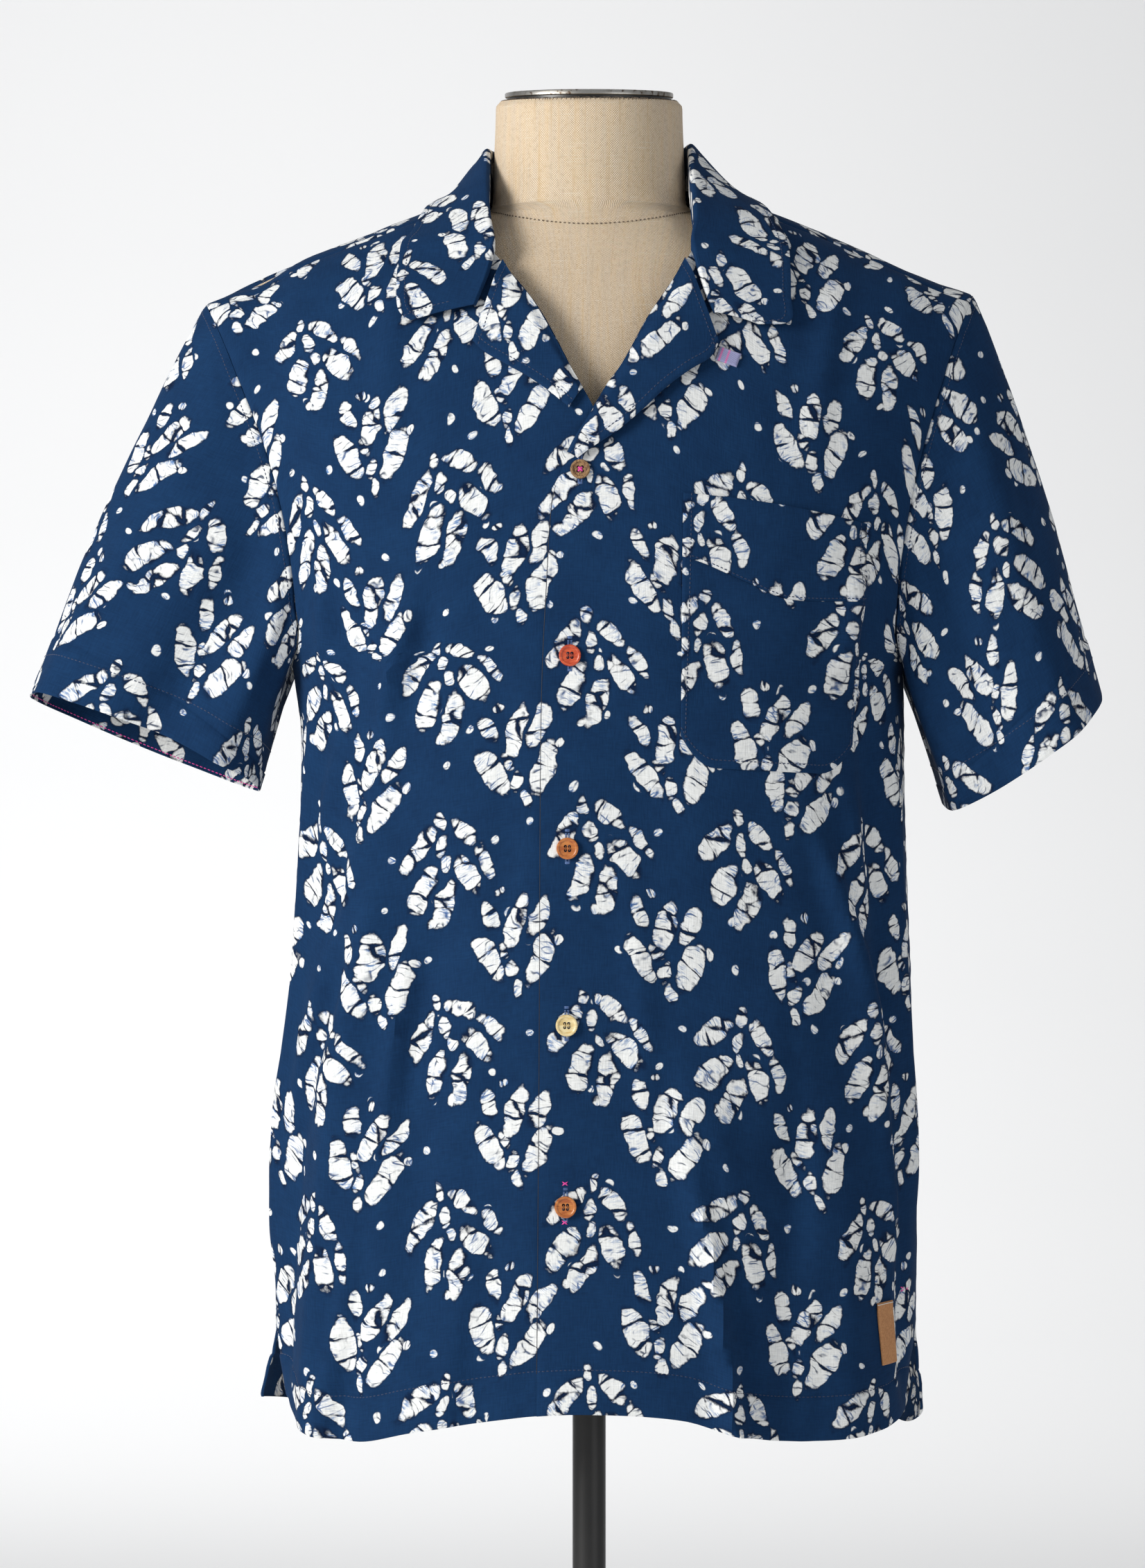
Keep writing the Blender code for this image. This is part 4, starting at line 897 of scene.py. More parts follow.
def armhole_points(side, over, lift):
    """Points of the armhole's edge on the body with its folds."""
    rise = 1 - np.abs(over)
    turn = side * armhole_turn(rise)
    turn = np.where(over > 0, side * 180 - turn, turn)
    places = bare(turn, rise)
    normals = outward(turn, rise)
    # On the ridge itself the normal is that of the shoulder's slope.
    slope = np.array([side * 0.38, 0.0, 0.92]) + 0 * normals
    flat = unit(mix(slope, normals, ease(np.abs(over) / 0.12)[:, None]))
    height = places[..., 2] - DATUM
    total = fold_lift(turn, height) + ripple(places) + lift
    total = total + np.where(over < 0, crease_lift(places[..., 0], height), 0.0)
    return places + flat * total[:, None], flat, rise


def cuff_points(cuff, share):
    angle = 2 * pi * share
    across = (1 - np.cos(angle)) / 2
    swing = np.sin(angle)
    x = mix(cuff.outer[0], cuff.inner[0], across)
    height = mix(cuff.outer[1], cuff.inner[1], across)
    bulge = np.abs(swing) ** 0.92
    front = swing >= 0
    y = CUFF_MIDDLE + np.where(front, -cuff.front, cuff.back) * bulge
    return np.stack([x, y, DATUM + height + np.where(front, cuff.front_up, cuff.back_up) * bulge], axis=-1)


def sleeve_cloth(name, side, cuff):
    front_over = np.r_[np.linspace(-0.001, -0.95, 300), np.linspace(-0.951, -0.99999, 140)]
    ring_over = []
    for over, count in ((front_over, 62), (-front_over[::-1], 62)):
        points, _, _ = armhole_points(side, over, 0.0)
        run = run_along(points)
        ring_over.append(np.interp(np.linspace(0, run[-1], count, endpoint=False), run, over))
    over = np.r_[ring_over[0], ring_over[1]]
    half = len(ring_over[0])
    share = np.r_[np.linspace(0, 0.5, half, endpoint=False), np.linspace(0.5, 1, half, endpoint=False)]
    starts, start_normals, rise = armhole_points(side, over, CLOTH)
    ends = cuff_points(cuff, share)
    length = np.linalg.norm(ends.mean(axis=0) - starts.mean(axis=0))
    hem = np.array([30.5, 28, 26.5, 25.7, 25, 24.2, 23, 19, 14, 9, 4.5, 2, 0.8, 0])
    steps = np.r_[0, 0.8, 1.8, 3.2, 5.5, np.arange(9.5, length - 34, 4.5), length - hem] / length
    t = steps[:, None, None]
    places = starts[None] * (1 - t) + ends[None] * t
    normals = outward_normals(places, ring=True)
    t, s = steps[:, None], share[None, :]
    lift = SLEEVE_BULGE * np.sin(pi * t) * (0.5 + 0.5 * np.cos(2 * pi * s))
    for fold in SLEEVE_FOLDS:
        if fold.side == cuff.side:
            off = s - mix(fold.top_share, fold.bottom_share, t)
            lift = lift + fold.depth * ease(t / 0.3) * bell(off, fold.width)
    lift = lift + ripple(places, 0.9) * ease(t / 0.1)
    around = np.cumsum(np.linalg.norm(np.roll(places, -1, axis=1) - places, axis=2), axis=1)
    down = (1 - t) * length + 0 * s
    from_seam = t * length
    lift = lift + hem_relief(down * HEM_DEPTH / CUFF_DEPTH, around) * ease((60 - down) / 20)
    pucker = 0.35 * np.sin(around / 2.4 + np.sin(around / 9)) * bell(from_seam - 5, 6.0)
    lift = lift + seam_dip(from_seam, 0.5) + pucker * ease(from_seam / 2)
    outer = pushed(places, normals, lift)
    wall_normals = outward_normals(outer, ring=True)
    wall_normals[0] = unit(mix(wall_normals[0], start_normals, ease(rise / 0.15)[:, None]))
    inner = outer - wall_normals * SLEEVE_WALL
    # The rings start at the underarm, where the sleeve's seam breaks the print.
    outer, inner, wall_normals = (np.roll(grid, -half, axis=1) for grid in (outer, inner, wall_normals))
    around, down = cloth_size(closed(outer))
    girth = around[-1, -1] * (1 + 0.12 * (1 - steps[:, None]))
    across = np.linspace(-0.5, 0.5, outer.shape[1] + 1)[None, :] * girth
    uv = np.stack([across + SLEEVE_PRINT * (side + 2), down[-1:] - down], axis=-1)
    return sew(name, outer, inner, wall_normals, uv, ring=True)


def keep_off(points, lift):
    """Moves points out along the body's normal where they are less than lift above the body."""
    over = over_at(points[:, 0], points[:, 1])
    spots, turn = over_places(points[:, 0], over)
    height = spots[:, 2] - DATUM
    normals = outward(turn, 1 - np.abs(over))
    normals = np.where(np.abs(over)[:, None] > 0.03, normals, np.array([0, 0, 1.0]))
    base = fold_lift(turn, height) + ripple(spots)
    off = ((points - spots) * normals).sum(axis=1) - base
    return points + normals * np.maximum(0.0, lift - off)[:, None]


def collar_section(station):
    """The collar's middle line across one station: up the stand, over the roll and down to the edge."""
    lying = station.y is None
    edge, _ = front_point(station.edge_x, min(station.edge_height, 330), COLLAR_EDGE_LIFT + CLOTH)
    if lying:
        roll, out_of_body = front_point(station.x, station.height, COLLAR_LIFT, lapping=station.x > 0)
    else:
        roll = np.array([station.x, station.y, DATUM + station.height])
        if station.edge_y is not None:
            edge = np.array([station.edge_x, station.edge_y, DATUM + station.edge_height])
    out = edge - roll
    up = np.array([0, 0, 1.0])
    if lying:
        out = unit(out)
        up = unit(out_of_body - out * (out_of_body @ out))
    else:
        out[2] = 0
        out = unit(out)
    radius = COLLAR_BEND_LYING if lying else COLLAR_BEND
    centre = roll + out * radius - up * radius
    points = [roll - up * max(station.stand, radius + 0.8)]
    points.append(roll - up * ((radius + 0.4) if lying else (station.stand + radius) / 2))
    for angle in (180, 125, 70):
        points.append(centre + out * radius * cos(radians(angle)) + up * radius * sin(radians(angle)))
    last = points[-1]
    t = np.arange(1, FALL_STEPS + 1)[:, None] / FALL_STEPS
    bow = (np.array([0, 0, 0.4]) + out * 0.6) * FALL_BOW * np.sin(pi * t)
    lifts = mix(COLLAR_LIFT, COLLAR_EDGE_LIFT, t[:, 0])
    return np.concatenate([np.array(points), keep_off(last + (edge - last) * t + bow, lifts)])


def unrolled(middle, across):
    """The collar laid flat: its roll is a straight line, and each section leaves it at its own angle."""
    roll = ROLL_COLUMN * COLLAR_FINER
    run = run_along(middle[:, roll])
    along = unit(np.gradient(middle[:, roll], axis=0))
    out = unit(middle[:, -1] - middle[:, roll])
    lean = np.clip((along * out).sum(axis=1), -0.95, 0.95)[:, None]
    far = across - across[:, roll : roll + 1]
    u, v = far * np.sqrt(1 - lean**2) + COLLAR_PRINT, run[:, None] + far * lean * (far > 0)
    return np.stack([u, v], axis=-1)


def collar_cloth():
    stations = COLLAR_RIGHT + [COLLAR_BACK] + list(reversed(COLLAR_LEFT))
    middle = np.array([collar_section(station) for station in stations])
    middle = finer(finer(middle, 6, axis=0), COLLAR_FINER, axis=1)
    normals = grid_normals(middle)
    away = middle[:, -3] - np.array([0, 0, middle[:, -3, 2].mean()])
    away[:, 2] = 0.5
    if (normals[:, -3] * away).sum() < 0:
        normals = -normals
    u, v = cloth_size(middle)
    to_edge = np.minimum(u[:, -1:] - u, np.minimum(v, v[-1:] - v) + 0.001)
    thick = COLLAR_CLOTH / 2 * (0.55 + 0.45 * ease(to_edge / 1.6))
    groove = -0.18 * bell(to_edge - 5.5, 1.2)
    outer = pushed(middle, normals, thick + groove)
    inner = pushed(middle, normals, -thick)
    return sew("collar", outer, inner, normals, unrolled(middle, u))


def lapel_cloth(name, table, lifts, lapping):
    """A lapel turned back over its front, from the roll to its free edge."""
    rows = np.array([[row.roll_x, row.roll_height, row.edge_x, row.edge_height] for row in table], float)
    rows = finer(rows, 7, axis=0)
    t = spread(22, near_start=(0.6, 1.5), near_end=(0.7, 1.6), length=26)[None, :]
    x = mix(rows[:, :1], rows[:, 2:3], t)
    height = mix(rows[:, 1:2], rows[:, 3:4], t)
    lift = CLOTH + 0.3 + mix(0.0, mix(lifts[0], lifts[1], t), ease(t / 0.22)) + 0 * x
    lower, normals = front_point(x, height, lift, lapping)
    u, _ = cloth_size(lower)
    to_edge = u[:, -1:] - u
    thick = COLLAR_CLOTH * (0.6 + 0.4 * ease(to_edge / 1.5)) - 0.18 * bell(to_edge - 5.5, 1.2)
    outer = pushed(lower, normals, thick)
    uv = np.stack([1.08 * x + LAPEL_PRINT, height], axis=-1)
    return sew(name, outer, lower, normals, uv)


def pocket_grid(low_of, high_of, rows):
    u = spread(30, near_start=(0.7, 2.0, 4.5, 6), near_end=(0.7, 2.0, 4.5, 6), length=110)
    t = rows[:, None]
    low, high = low_of(u), high_of(u)
    x = mix(low[0][None], high[0][None], t)
    height = mix(low[1][None], high[1][None], t)
    return x, height


def pocket_shapes():
    def foot(u):
        x = mix(POCKET_FOOT_IN[0] + 2, POCKET_FOOT_OUT[0] - 2, u)
        rounding = np.maximum(0.0, 1 - np.minimum(u, 1 - u) / 0.2) ** 2 * POCKET_CORNER * 0.75
        return x, mix(POCKET_FOOT_IN[1], POCKET_FOOT_OUT[1], u) + rounding

    def seam(u):
        x = mix(POCKET_TOP_IN[0] - 0.5, POCKET_TOP_OUT[0] - 1, u)
        return x, read(BAND_SEAM, "x", "height", x)

    def top(u):
        x = mix(POCKET_TOP_IN[0], POCKET_TOP_OUT[0], u)
        return x, mix(POCKET_TOP_IN[1], POCKET_TOP_OUT[1], u) + POCKET_TOP_RISE * np.sin(pi * u)

    return foot, seam, top


def pocket_cloths():
    foot, seam, top = pocket_shapes()
    made = []
    for name, low_of, high_of, rows, length in (
        ("pocket", foot, seam, 28, 100),
        ("pocket_band", seam, top, 14, 40),
    ):
        share = spread(rows, near_start=(0.7, 2.0, 4.5), near_end=(0.7, 2.0), length=length)
        x, height = pocket_grid(low_of, high_of, share)
        flat, normals = front_point(x, height, CLOTH + 0.25)
        u, v = cloth_size(flat)
        sides = np.minimum(u, u[:, -1:] - u)
        ends = v if name == "pocket" else v[-1:] - v
        joined = v[-1:] - v if name == "pocket" else v
        to_edge = np.minimum(sides, ends)
        thick = 0.95 - 0.5 * bell(to_edge, 0.8) - 0.25 * bell(to_edge - 5, 1.2)
        thick = thick - 0.6 * bell(joined, 0.8)
        size, low, reach = (0.6, 30, 70) if name == "pocket" else (1.6, 12, 30)
        gape = size * ease((v - low) / reach) * np.sin(pi * u / u[:, -1:])
        outer = pushed(flat, normals, thick + gape)
        inner = pushed(flat, normals, gape + 0 * u)
        uv = np.stack([x * 1.02 + 23, height + (31 if name == "pocket" else 77)], axis=-1)
        made.append(sew(name, outer, inner, normals, uv))
    return made


# Materials


def linear(colour):
    """An sRGB hex colour, or a colour property, as linear RGBA."""
    if not isinstance(colour, str):
        return (*colour[:3], 1.0)
    parts = [int(colour[k : k + 2], 16) / 255 for k in (1, 3, 5)]
    return (*[c / 12.92 if c <= 0.04045 else ((c + 0.055) / 1.055) ** 2.4 for c in parts], 1.0)


def node(tree, kind, inputs=None, **settings):
    """Adds a node. inputs holds, by socket name or index, values or the sockets that feed them."""
    made = tree.nodes.new("ShaderNode" + kind)
    for key, value in settings.items():
        setattr(made, key, value)
    for key, value in (inputs or {}).items():
        if isinstance(value, bpy.types.NodeSocket):
            tree.links.new(value, made.inputs[key])
        else:
            made.inputs[key].default_value = value
    return made


def calc(tree, operation, *values):
    """One step of arithmetic on numbers."""
    return node(tree, "Math", dict(enumerate(values)), operation=operation).outputs[0]


def calc3(tree, operation, *values):
    """One step of arithmetic on vectors."""
    return node(tree, "VectorMath", dict(enumerate(values)), operation=operation).outputs[0]


def ramp(tree, value, *ends, **settings):
    """Maps a value from one range to another. ends holds the low and high end of each, or of the first."""
    return node(tree, "MapRange", dict(enumerate((value, *ends))), **settings).outputs[0]


def blend(tree, share, *colours, **settings):
    """Mixes two colours, each a socket or what linear() takes."""
    low, high = (c if isinstance(c, bpy.types.NodeSocket) else linear(c) for c in colours)
    return node(tree, "Mix", {0: share, 6: low, 7: high}, data_type="RGBA", **settings).outputs[2]


def cloudy(tree, place, scale, detail, **more):
    """Fractal noise from 0 to 1. At a scale of 1 / 5 its lumps are some 5 mm across."""
    return node(tree, "TexNoise", {"Vector": place, "Scale": scale, "Detail": detail, **more}).outputs[0]


def cracks(tree, place, **more):
    """The distance from the nearest edge between the cells of a broken sheet."""
    inputs = {"Vector": place, "Scale": 1.0, **more}
    cells = node(tree, "TexVoronoi", inputs, feature="DISTANCE_TO_EDGE", voronoi_dimensions="2D")
    return cells.outputs["Distance"]


def start(name, **constants):
    """A new material, its tree and its shader, with the shader's constant sockets set."""
    made = bpy.data.materials.new(name)
    made.use_nodes = True
    tree = made.node_tree
    shader = tree.nodes["Principled BSDF"]
    for key, value in constants.items():
        shader.inputs[key.replace("_", " ")].default_value = value
    return made, tree, shader


def feed(tree, shader, colour=None, roughness=None, height=None, depth=0.3):
    """Links a colour, a roughness and a bump height in millimetres to a shader."""
    if colour is not None:
        tree.links.new(colour, shader.inputs["Base Color"])
    if roughness is not None:
        tree.links.new(roughness, shader.inputs["Roughness"])
    if height is not None:
        bump = node(tree, "Bump", {"Strength": 1.0, "Distance": depth / 1000, "Height": height})
        tree.links.new(bump.outputs[0], shader.inputs["Normal"])


# Leaves, stem pieces and wax dots of the two sprigs: x, y, lean in degrees, half length and half width.
OPEN_SPRIG = [
    (-17, -4, 112, 15.2, 6.1),
    (12, -11, 60, 15.8, 6.4),
    (0.5, 13, 68, 14.8, 6.0),
    (14.8, 13, 62, 12.3, 5.2),
    (-14, 21, 104, 9.2, 4.4),
    (-2, -26, 96, 5.0, 2.7),
    (-4, -14, 75, 6.0, 3.4),
    (-7.6, -1, 116, 5.0, 2.6),
    (-5.5, 32, 0, 2.5, 2.4),
    (24, -1, 0, 2.3, 2.6),
]
NODDING_SPRIG = [
    (-14, 13.5, 48, 15.2, 5.8),
    (-12, -11, 58, 14.8, 6.6),
    (0.5, -22, 65, 14.8, 5.9),
    (16, -8, 116, 13.2, 6.0),
    (27, -1, 112, 10, 3.8),
    (14, 18, 126, 10.2, 4.9),
    (1, 28, 88, 5.0, 2.7),
    (1.5, 13, 80, 6.0, 3.4),
    (3.2, 1, 100, 4.2, 2.6),
    (-9, -31, 0, 2.5, 2.7),
]
WIDE_CRACKS, FINE_CRACKS = 13.0, 5.5  # millimetres from one crack across a leaf to the next
DOT_SPACING, DOT_RADIUS = 36.0, 2.2
SPRIG_CELL = (87.0, 109.0)  # the print's repeat, which holds one sprig of each kind


def leaf_sprig(tree, place, offset, seed, leaves, swing_range):
    """How deep each place of the cloth lies inside the leaves of one kind of sprig, in millimetres.

    Also gives where the place lies along and across the nearest leaf, for its cracks. swing_range holds the
    least and the most that a sprig is turned, in radians.
    """
    cell = SPRIG_CELL
    shifted = calc3(tree, "ADD", place, (*offset, 0))
    scaled = calc3(tree, "DIVIDE", shifted, (*cell, 1))
    corner = calc3(tree, "FLOOR", scaled)
    chance = node(tree, "TexWhiteNoise", {"Vector": corner, "W": seed}, noise_dimensions="4D")
    inside = calc3(tree, "SUBTRACT", scaled, corner)
    middle = calc3(tree, "MULTIPLY_ADD", inside, (*cell, 0), (-cell[0] / 2, -cell[1] / 2, 0))
    # Each sprig is moved by up to 4 mm both ways.
    jitter = calc3(tree, "MULTIPLY_ADD", chance.outputs["Color"], (8, 8, 0), (-4, -4, 0))
    moved = calc3(tree, "ADD", middle, jitter)
    swing = ramp(tree, chance.outputs["Value"], 0, 1, *swing_range)
    swung = node(tree, "VectorRotate", {"Vector": moved, "Angle": swing}, rotation_type="Z_AXIS").outputs[0]
    deepest, nearest = None, None
    for x, y, angle, length, width in leaves:
        lies = {"Location": (x, y, 0), "Rotation": (0, 0, radians(angle)), "Scale": (length, width, 1)}
        flat = node(tree, "Mapping", {"Vector": swung, **lies}, vector_type="TEXTURE").outputs[0]
        reach = node(tree, "VectorMath", {0: flat}, operation="LENGTH").outputs["Value"]
        deep = calc(tree, "MULTIPLY_ADD", reach, -width, width)
        # Each leaf's cracks are its own, so its place in the crack pattern is shifted by its x and y.
        own = calc3(tree, "MULTIPLY_ADD", flat, (length, width, 1), (7 * y, 5 * x, 0))
        if deepest is not None:
            closer = calc(tree, "GREATER_THAN", deep, deepest)
            own = node(tree, "Mix", {0: closer, 4: nearest, 5: own}, data_type="VECTOR").outputs[1]
            deep = calc(tree, "MAXIMUM", deepest, deep)
        deepest, nearest = deep, own
    return deepest, nearest


def batik_cotton():
    """Plain-woven cotton printed by wax resist: white leaves left bare in a navy ground.

    To the eye it is a matt cloth with a faint sheen at grazing light. The wax cracks, so fine navy veins cut
    the leaves into rounded pieces with darker rims, and pale blue has seeped into some of them.
    """
    shades = bpy.context.scene.shirt_colours
    matt = {"Roughness": 0.88, "Sheen_Weight": 0.015, "Sheen_Roughness": 0.4, "Specular_IOR_Level": 0.1}
    made, tree, shader = start("batik_cotton", IOR=1.46, **matt)
    cloth = node(tree, "UVMap", uv_map="cloth").outputs[0]
    drift = node(tree, "TexNoise", {"Vector": cloth, "Scale": 1 / 16, "Detail": 1.5})
    # Outlines wander by up to 4.5 mm, over some 16 mm of cloth.
    bend = calc3(tree, "MULTIPLY_ADD", drift.outputs["Color"], (9, 9, 0), (-4.5, -4.5, 0))
    place = calc3(tree, "ADD", cloth, bend)
    leaves, own = leaf_sprig(tree, place, (0, 0), 3.0, OPEN_SPRIG, (-0.3, 0.3))
    half_cell = (SPRIG_CELL[0] / 2, SPRIG_CELL[1] / 2)
    other, others_own = leaf_sprig(tree, place, half_cell, 8.0, NODDING_SPRIG, (-0.35, 0.25))
    closer = calc(tree, "GREATER_THAN", other, leaves)
    own = node(tree, "Mix", {0: closer, 4: own, 5: others_own}, data_type="VECTOR").outputs[1]
    leaves = calc(tree, "MAXIMUM", leaves, other)
    lumps = cloudy(tree, cloth, 1 / 5.5, 1.0)
    lumpy = calc(tree, "MULTIPLY_ADD", lumps, 2.6, -1.3)
    leaves = calc(tree, "ADD", leaves, lumpy)

    # The wax cracked across each leaf, in wide gaps some 13 mm apart and fine ones 5.5 mm apart.
    crack_at = calc3(tree, "MULTIPLY", own, (1 / WIDE_CRACKS, 0.35 / WIDE_CRACKS, 0))
    wide = cracks(tree, crack_at, Randomness=0.9)
    tidal = cloudy(tree, cloth, 1 / 9, 1.0)
    gape = ramp(tree, tidal, 0.35, 0.65, 0.0, -1.1)
    crack = calc(tree, "MULTIPLY_ADD", wide, WIDE_CRACKS, gape)
    cut = calc(tree, "SMOOTH_MIN", leaves, crack, 2.2)
    fray = cloudy(tree, cloth, 1 / 1.4, 2.0)
    frayed = calc(tree, "MULTIPLY_ADD", fray, 0.7, -0.35)
    rim = calc(tree, "ADD", cut, frayed)

    # Single dots of wax between the leaves.
    spots = {"Vector": place, "Scale": 1 / DOT_SPACING, "Randomness": 0.8}
    dots = node(tree, "TexVoronoi", spots, voronoi_dimensions="2D")
    dot_deep = calc(tree, "MULTIPLY_ADD", dots.outputs["Distance"], -DOT_SPACING, DOT_RADIUS)
    clear = calc(tree, "MULTIPLY_ADD", leaves, -1.0, -2.0)
    dot = calc(tree, "MINIMUM", dot_deep, clear)
    white_deep = calc(tree, "MAXIMUM", rim, dot)

    # The navy ground: uneven dye, darker beside the leaves and along fine cracks.
    mottle = cloudy(tree, cloth, 1 / 24, 4.0, Roughness=0.6)
    dye = blend(tree, mottle, shades.navy, shades.navy_light)
    fine_at = calc3(tree, "MULTIPLY", own, (1 / FINE_CRACKS, 0.3 / FINE_CRACKS, 0))
    fine = cracks(tree, calc3(tree, "MULTIPLY_ADD", drift.outputs["Color"], (2.2, 2.2, 0), fine_at))
    hair = ramp(tree, fine, 0.02, 0.085, 1.0, 0.0)
    patch = ramp(tree, lumps, 0.42, 0.6)
    veined = calc(tree, "MULTIPLY", hair, patch)
    near_leaf = ramp(tree, leaves, -1.2, 0.6)
    halo = ramp(tree, white_deep, -1.7, -0.3, 0.0, 0.95)
    shade = calc(tree, "MULTIPLY", near_leaf, halo)
    ground = blend(tree, shade, dye, shades.ink)

    # The leaves: undyed white, with blue seeped in from fine cracks in places, as short brushed streaks.
    streak_at = calc3(tree, "MULTIPLY", own, (1 / 1.1, 1 / 5.0, 0))
    streak = cloudy(tree, streak_at, 1.0, 2.0)
    seep = cloudy(tree, cloth, 1 / 11, 2.0)
    wet = ramp(tree, seep, 0.48, 0.62)
    brushed = ramp(tree, streak, 0.48, 0.6)
    hatch = calc(tree, "MULTIPLY", wet, brushed)
    near_edge = ramp(tree, cut, 0.2, 3.2, 0.95, 0.2)
    stained = calc(tree, "MULTIPLY", hatch, near_edge)
    greyed = ramp(tree, streak, 0.5, 0.8, 0.0, 0.3)
    bare_white = blend(tree, greyed, shades.white, shades.stain)
    pale = blend(tree, stained, bare_white, shades.seep)
    vein_seep = calc(tree, "MULTIPLY", veined, 0.9)
    vein = blend(tree, wet, shades.navy, shades.vein)
    leaf = blend(tree, vein_seep, pale, vein)
    mask = ramp(tree, white_deep, -0.35, 0.35, interpolation_type="SMOOTHSTEP")
    print_colour = blend(tree, mask, ground, leaf)

    # Threads lie 0.35 mm apart. They are drawn 0.9 mm apart, or they would not show at this size.
    pitch = bpy.context.scene.shirt_sizes.thread_spacing * 1000
    warp_at = calc3(tree, "MULTIPLY", cloth, (1 / pitch, 0.12 / pitch, 1))
    weft_at = calc3(tree, "MULTIPLY", cloth, (0.12 / pitch, 1 / pitch, 1))
    warp = cloudy(tree, warp_at, 1.0, 1.0)
    weft = cloudy(tree, weft_at, 1.0, 1.0)
    weave = calc(tree, "ADD", warp, weft)
    grain = ramp(tree, weave, 0.7, 1.3, 0.88, 1.1)
    colour = blend(tree, 1.0, print_colour, grain, blend_type="MULTIPLY")
    feed(tree, shader, colour, height=weave, depth=0.16)
    return made


def plain_linen():
    """Undyed linen, woven from uneven yarn: matt, with golden and grey threads that run up and down."""
    shades = bpy.context.scene.form_colours
    matt = {"Roughness": 0.88, "Sheen_Weight": 0.12, "Sheen_Roughness": 0.5, "Specular_IOR_Level": 0.25}
    made, tree, shader = start("plain_linen", IOR=1.5, **matt)
    cloth = node(tree, "UVMap", uv_map="cloth").outputs[0]
    # The yarns lie 0.6 mm apart, over and under each other in a plain weave of 1.2 mm. It is drawn at 1.4 mm.
    wobble = node(tree, "TexNoise", {"Vector": cloth, "Scale": 1 / 9, "Detail": 2.0}).outputs["Color"]
    bent = calc3(tree, "MULTIPLY_ADD", wobble, (1.2, 1.2, 0), cloth)
    turns = calc3(tree, "MULTIPLY", bent, (2 * pi / 1.4, 2 * pi / 1.4, 0))
    wave = calc3(tree, "SINE", turns)
    parts = node(tree, "SeparateXYZ", {0: wave}).outputs
    weave = calc(tree, "MULTIPLY", parts["X"], parts["Y"])
    # A thick stretch of yarn is some 60 mm long and a millimetre or two wide.
    up_at = calc3(tree, "MULTIPLY", cloth, (1 / 1.6, 1 / 70, 1))
    across_at = calc3(tree, "MULTIPLY", cloth, (1 / 22, 1 / 0.9, 1))
    broad_at = calc3(tree, "MULTIPLY", cloth, (1 / 5.0, 1 / 70, 1))
    # Knots and thin places make the cloth mottled, some 2.5 mm across.
    mottle = cloudy(tree, cloth, 1 / 2.5, 3.0, Roughness=0.7)
    up = cloudy(tree, up_at, 1.0, 2.0)
    across = cloudy(tree, across_at, 1.0, 2.0)
    broad = cloudy(tree, broad_at, 1.0, 3.0)
    lifted = ramp(tree, weave, -0.45, 0.45)
    golden = ramp(tree, broad, 0.4, 0.62, 0.25, 0.75)
    under = blend(tree, golden, shades.linen_grey, shades.linen_gold)
    yarn = blend(tree, lifted, under, shades.linen)
    warp = ramp(tree, up, 0.54, 0.68, 0.0, 0.35)
    streaked = blend(tree, warp, yarn, shades.linen_gold)
    slub = ramp(tree, across, 0.6, 0.74, 0.0, 0.35)
    spotted = ramp(tree, mottle, 0.38, 0.5, 0.4, 0.0)
    flecked = blend(tree, spotted, streaked, under)
    colour = blend(tree, slub, flecked, shades.linen_light)
    raised = calc(tree, "ADD", slub, weave)
    height = calc(tree, "ADD", raised, mottle)
    feed(tree, shader, colour, height=height, depth=0.16)
    return made


def in_millimetres(tree):
    """Places on a piece in millimetres, which move with it."""
    spot = node(tree, "TexCoord").outputs["Object"]
    return calc3(tree, "MULTIPLY", spot, (1000, 1000, 1000))


def speckled(name, low, high, spot_size, depth, roughness, **constants):
    """A surface whose colour wanders between two colours, with a fine relief of the same grain."""
    made, tree, shader = start(name, **constants)
    grain = cloudy(tree, in_millimetres(tree), 1 / spot_size, 5.0, Roughness=0.62)
    share = ramp(tree, grain, 0.35, 0.65)
    colour = blend(tree, share, low, high)
    rough = ramp(tree, grain, 0.3, 0.7, roughness[0], roughness[1])
    feed(tree, shader, colour, rough, grain, depth)
    return made


def sewing_thread(name, dark, light):
    """Twisted polyester sewing thread: a soft gloss, with lighter and darker turns 0.5 mm apart."""
    return speckled(name, dark, light, 0.5, 0.1, (0.45, 0.65), Sheen_Weight=0.2, IOR=1.55)


def tan_leather():
    """Vegetable-tanned leather, dyed tan: a matt grain a millimetre across, lighter where it is rubbed."""
    return speckled("tan_leather", "#B0784A", "#CB9463", 1.1, 0.12, (0.5, 0.68), IOR=1.5)


def horn_like(name, dark, light):
    """Cast polyester button, tumbled to a soft gloss: cloudy streaks some millimetres long in its depth."""
    made, tree, shader = start(name, Roughness=0.3, IOR=1.56, Coat_Weight=0.25, Coat_Roughness=0.15)
    streak = calc3(tree, "MULTIPLY", in_millimetres(tree), (0.16, 0.16, 0.5))
    cloud = cloudy(tree, streak, 1.0, 4.0, Distortion=1.2)
    share = ramp(tree, cloud, 0.35, 0.65)
    colour = blend(tree, share, dark, light)
    scuff = cloudy(tree, in_millimetres(tree), 2.5, 3.0)
    rough = ramp(tree, scuff, 0, 1, 0.22, 0.45)
    feed(tree, shader, colour, rough, scuff, 0.02)
    return made


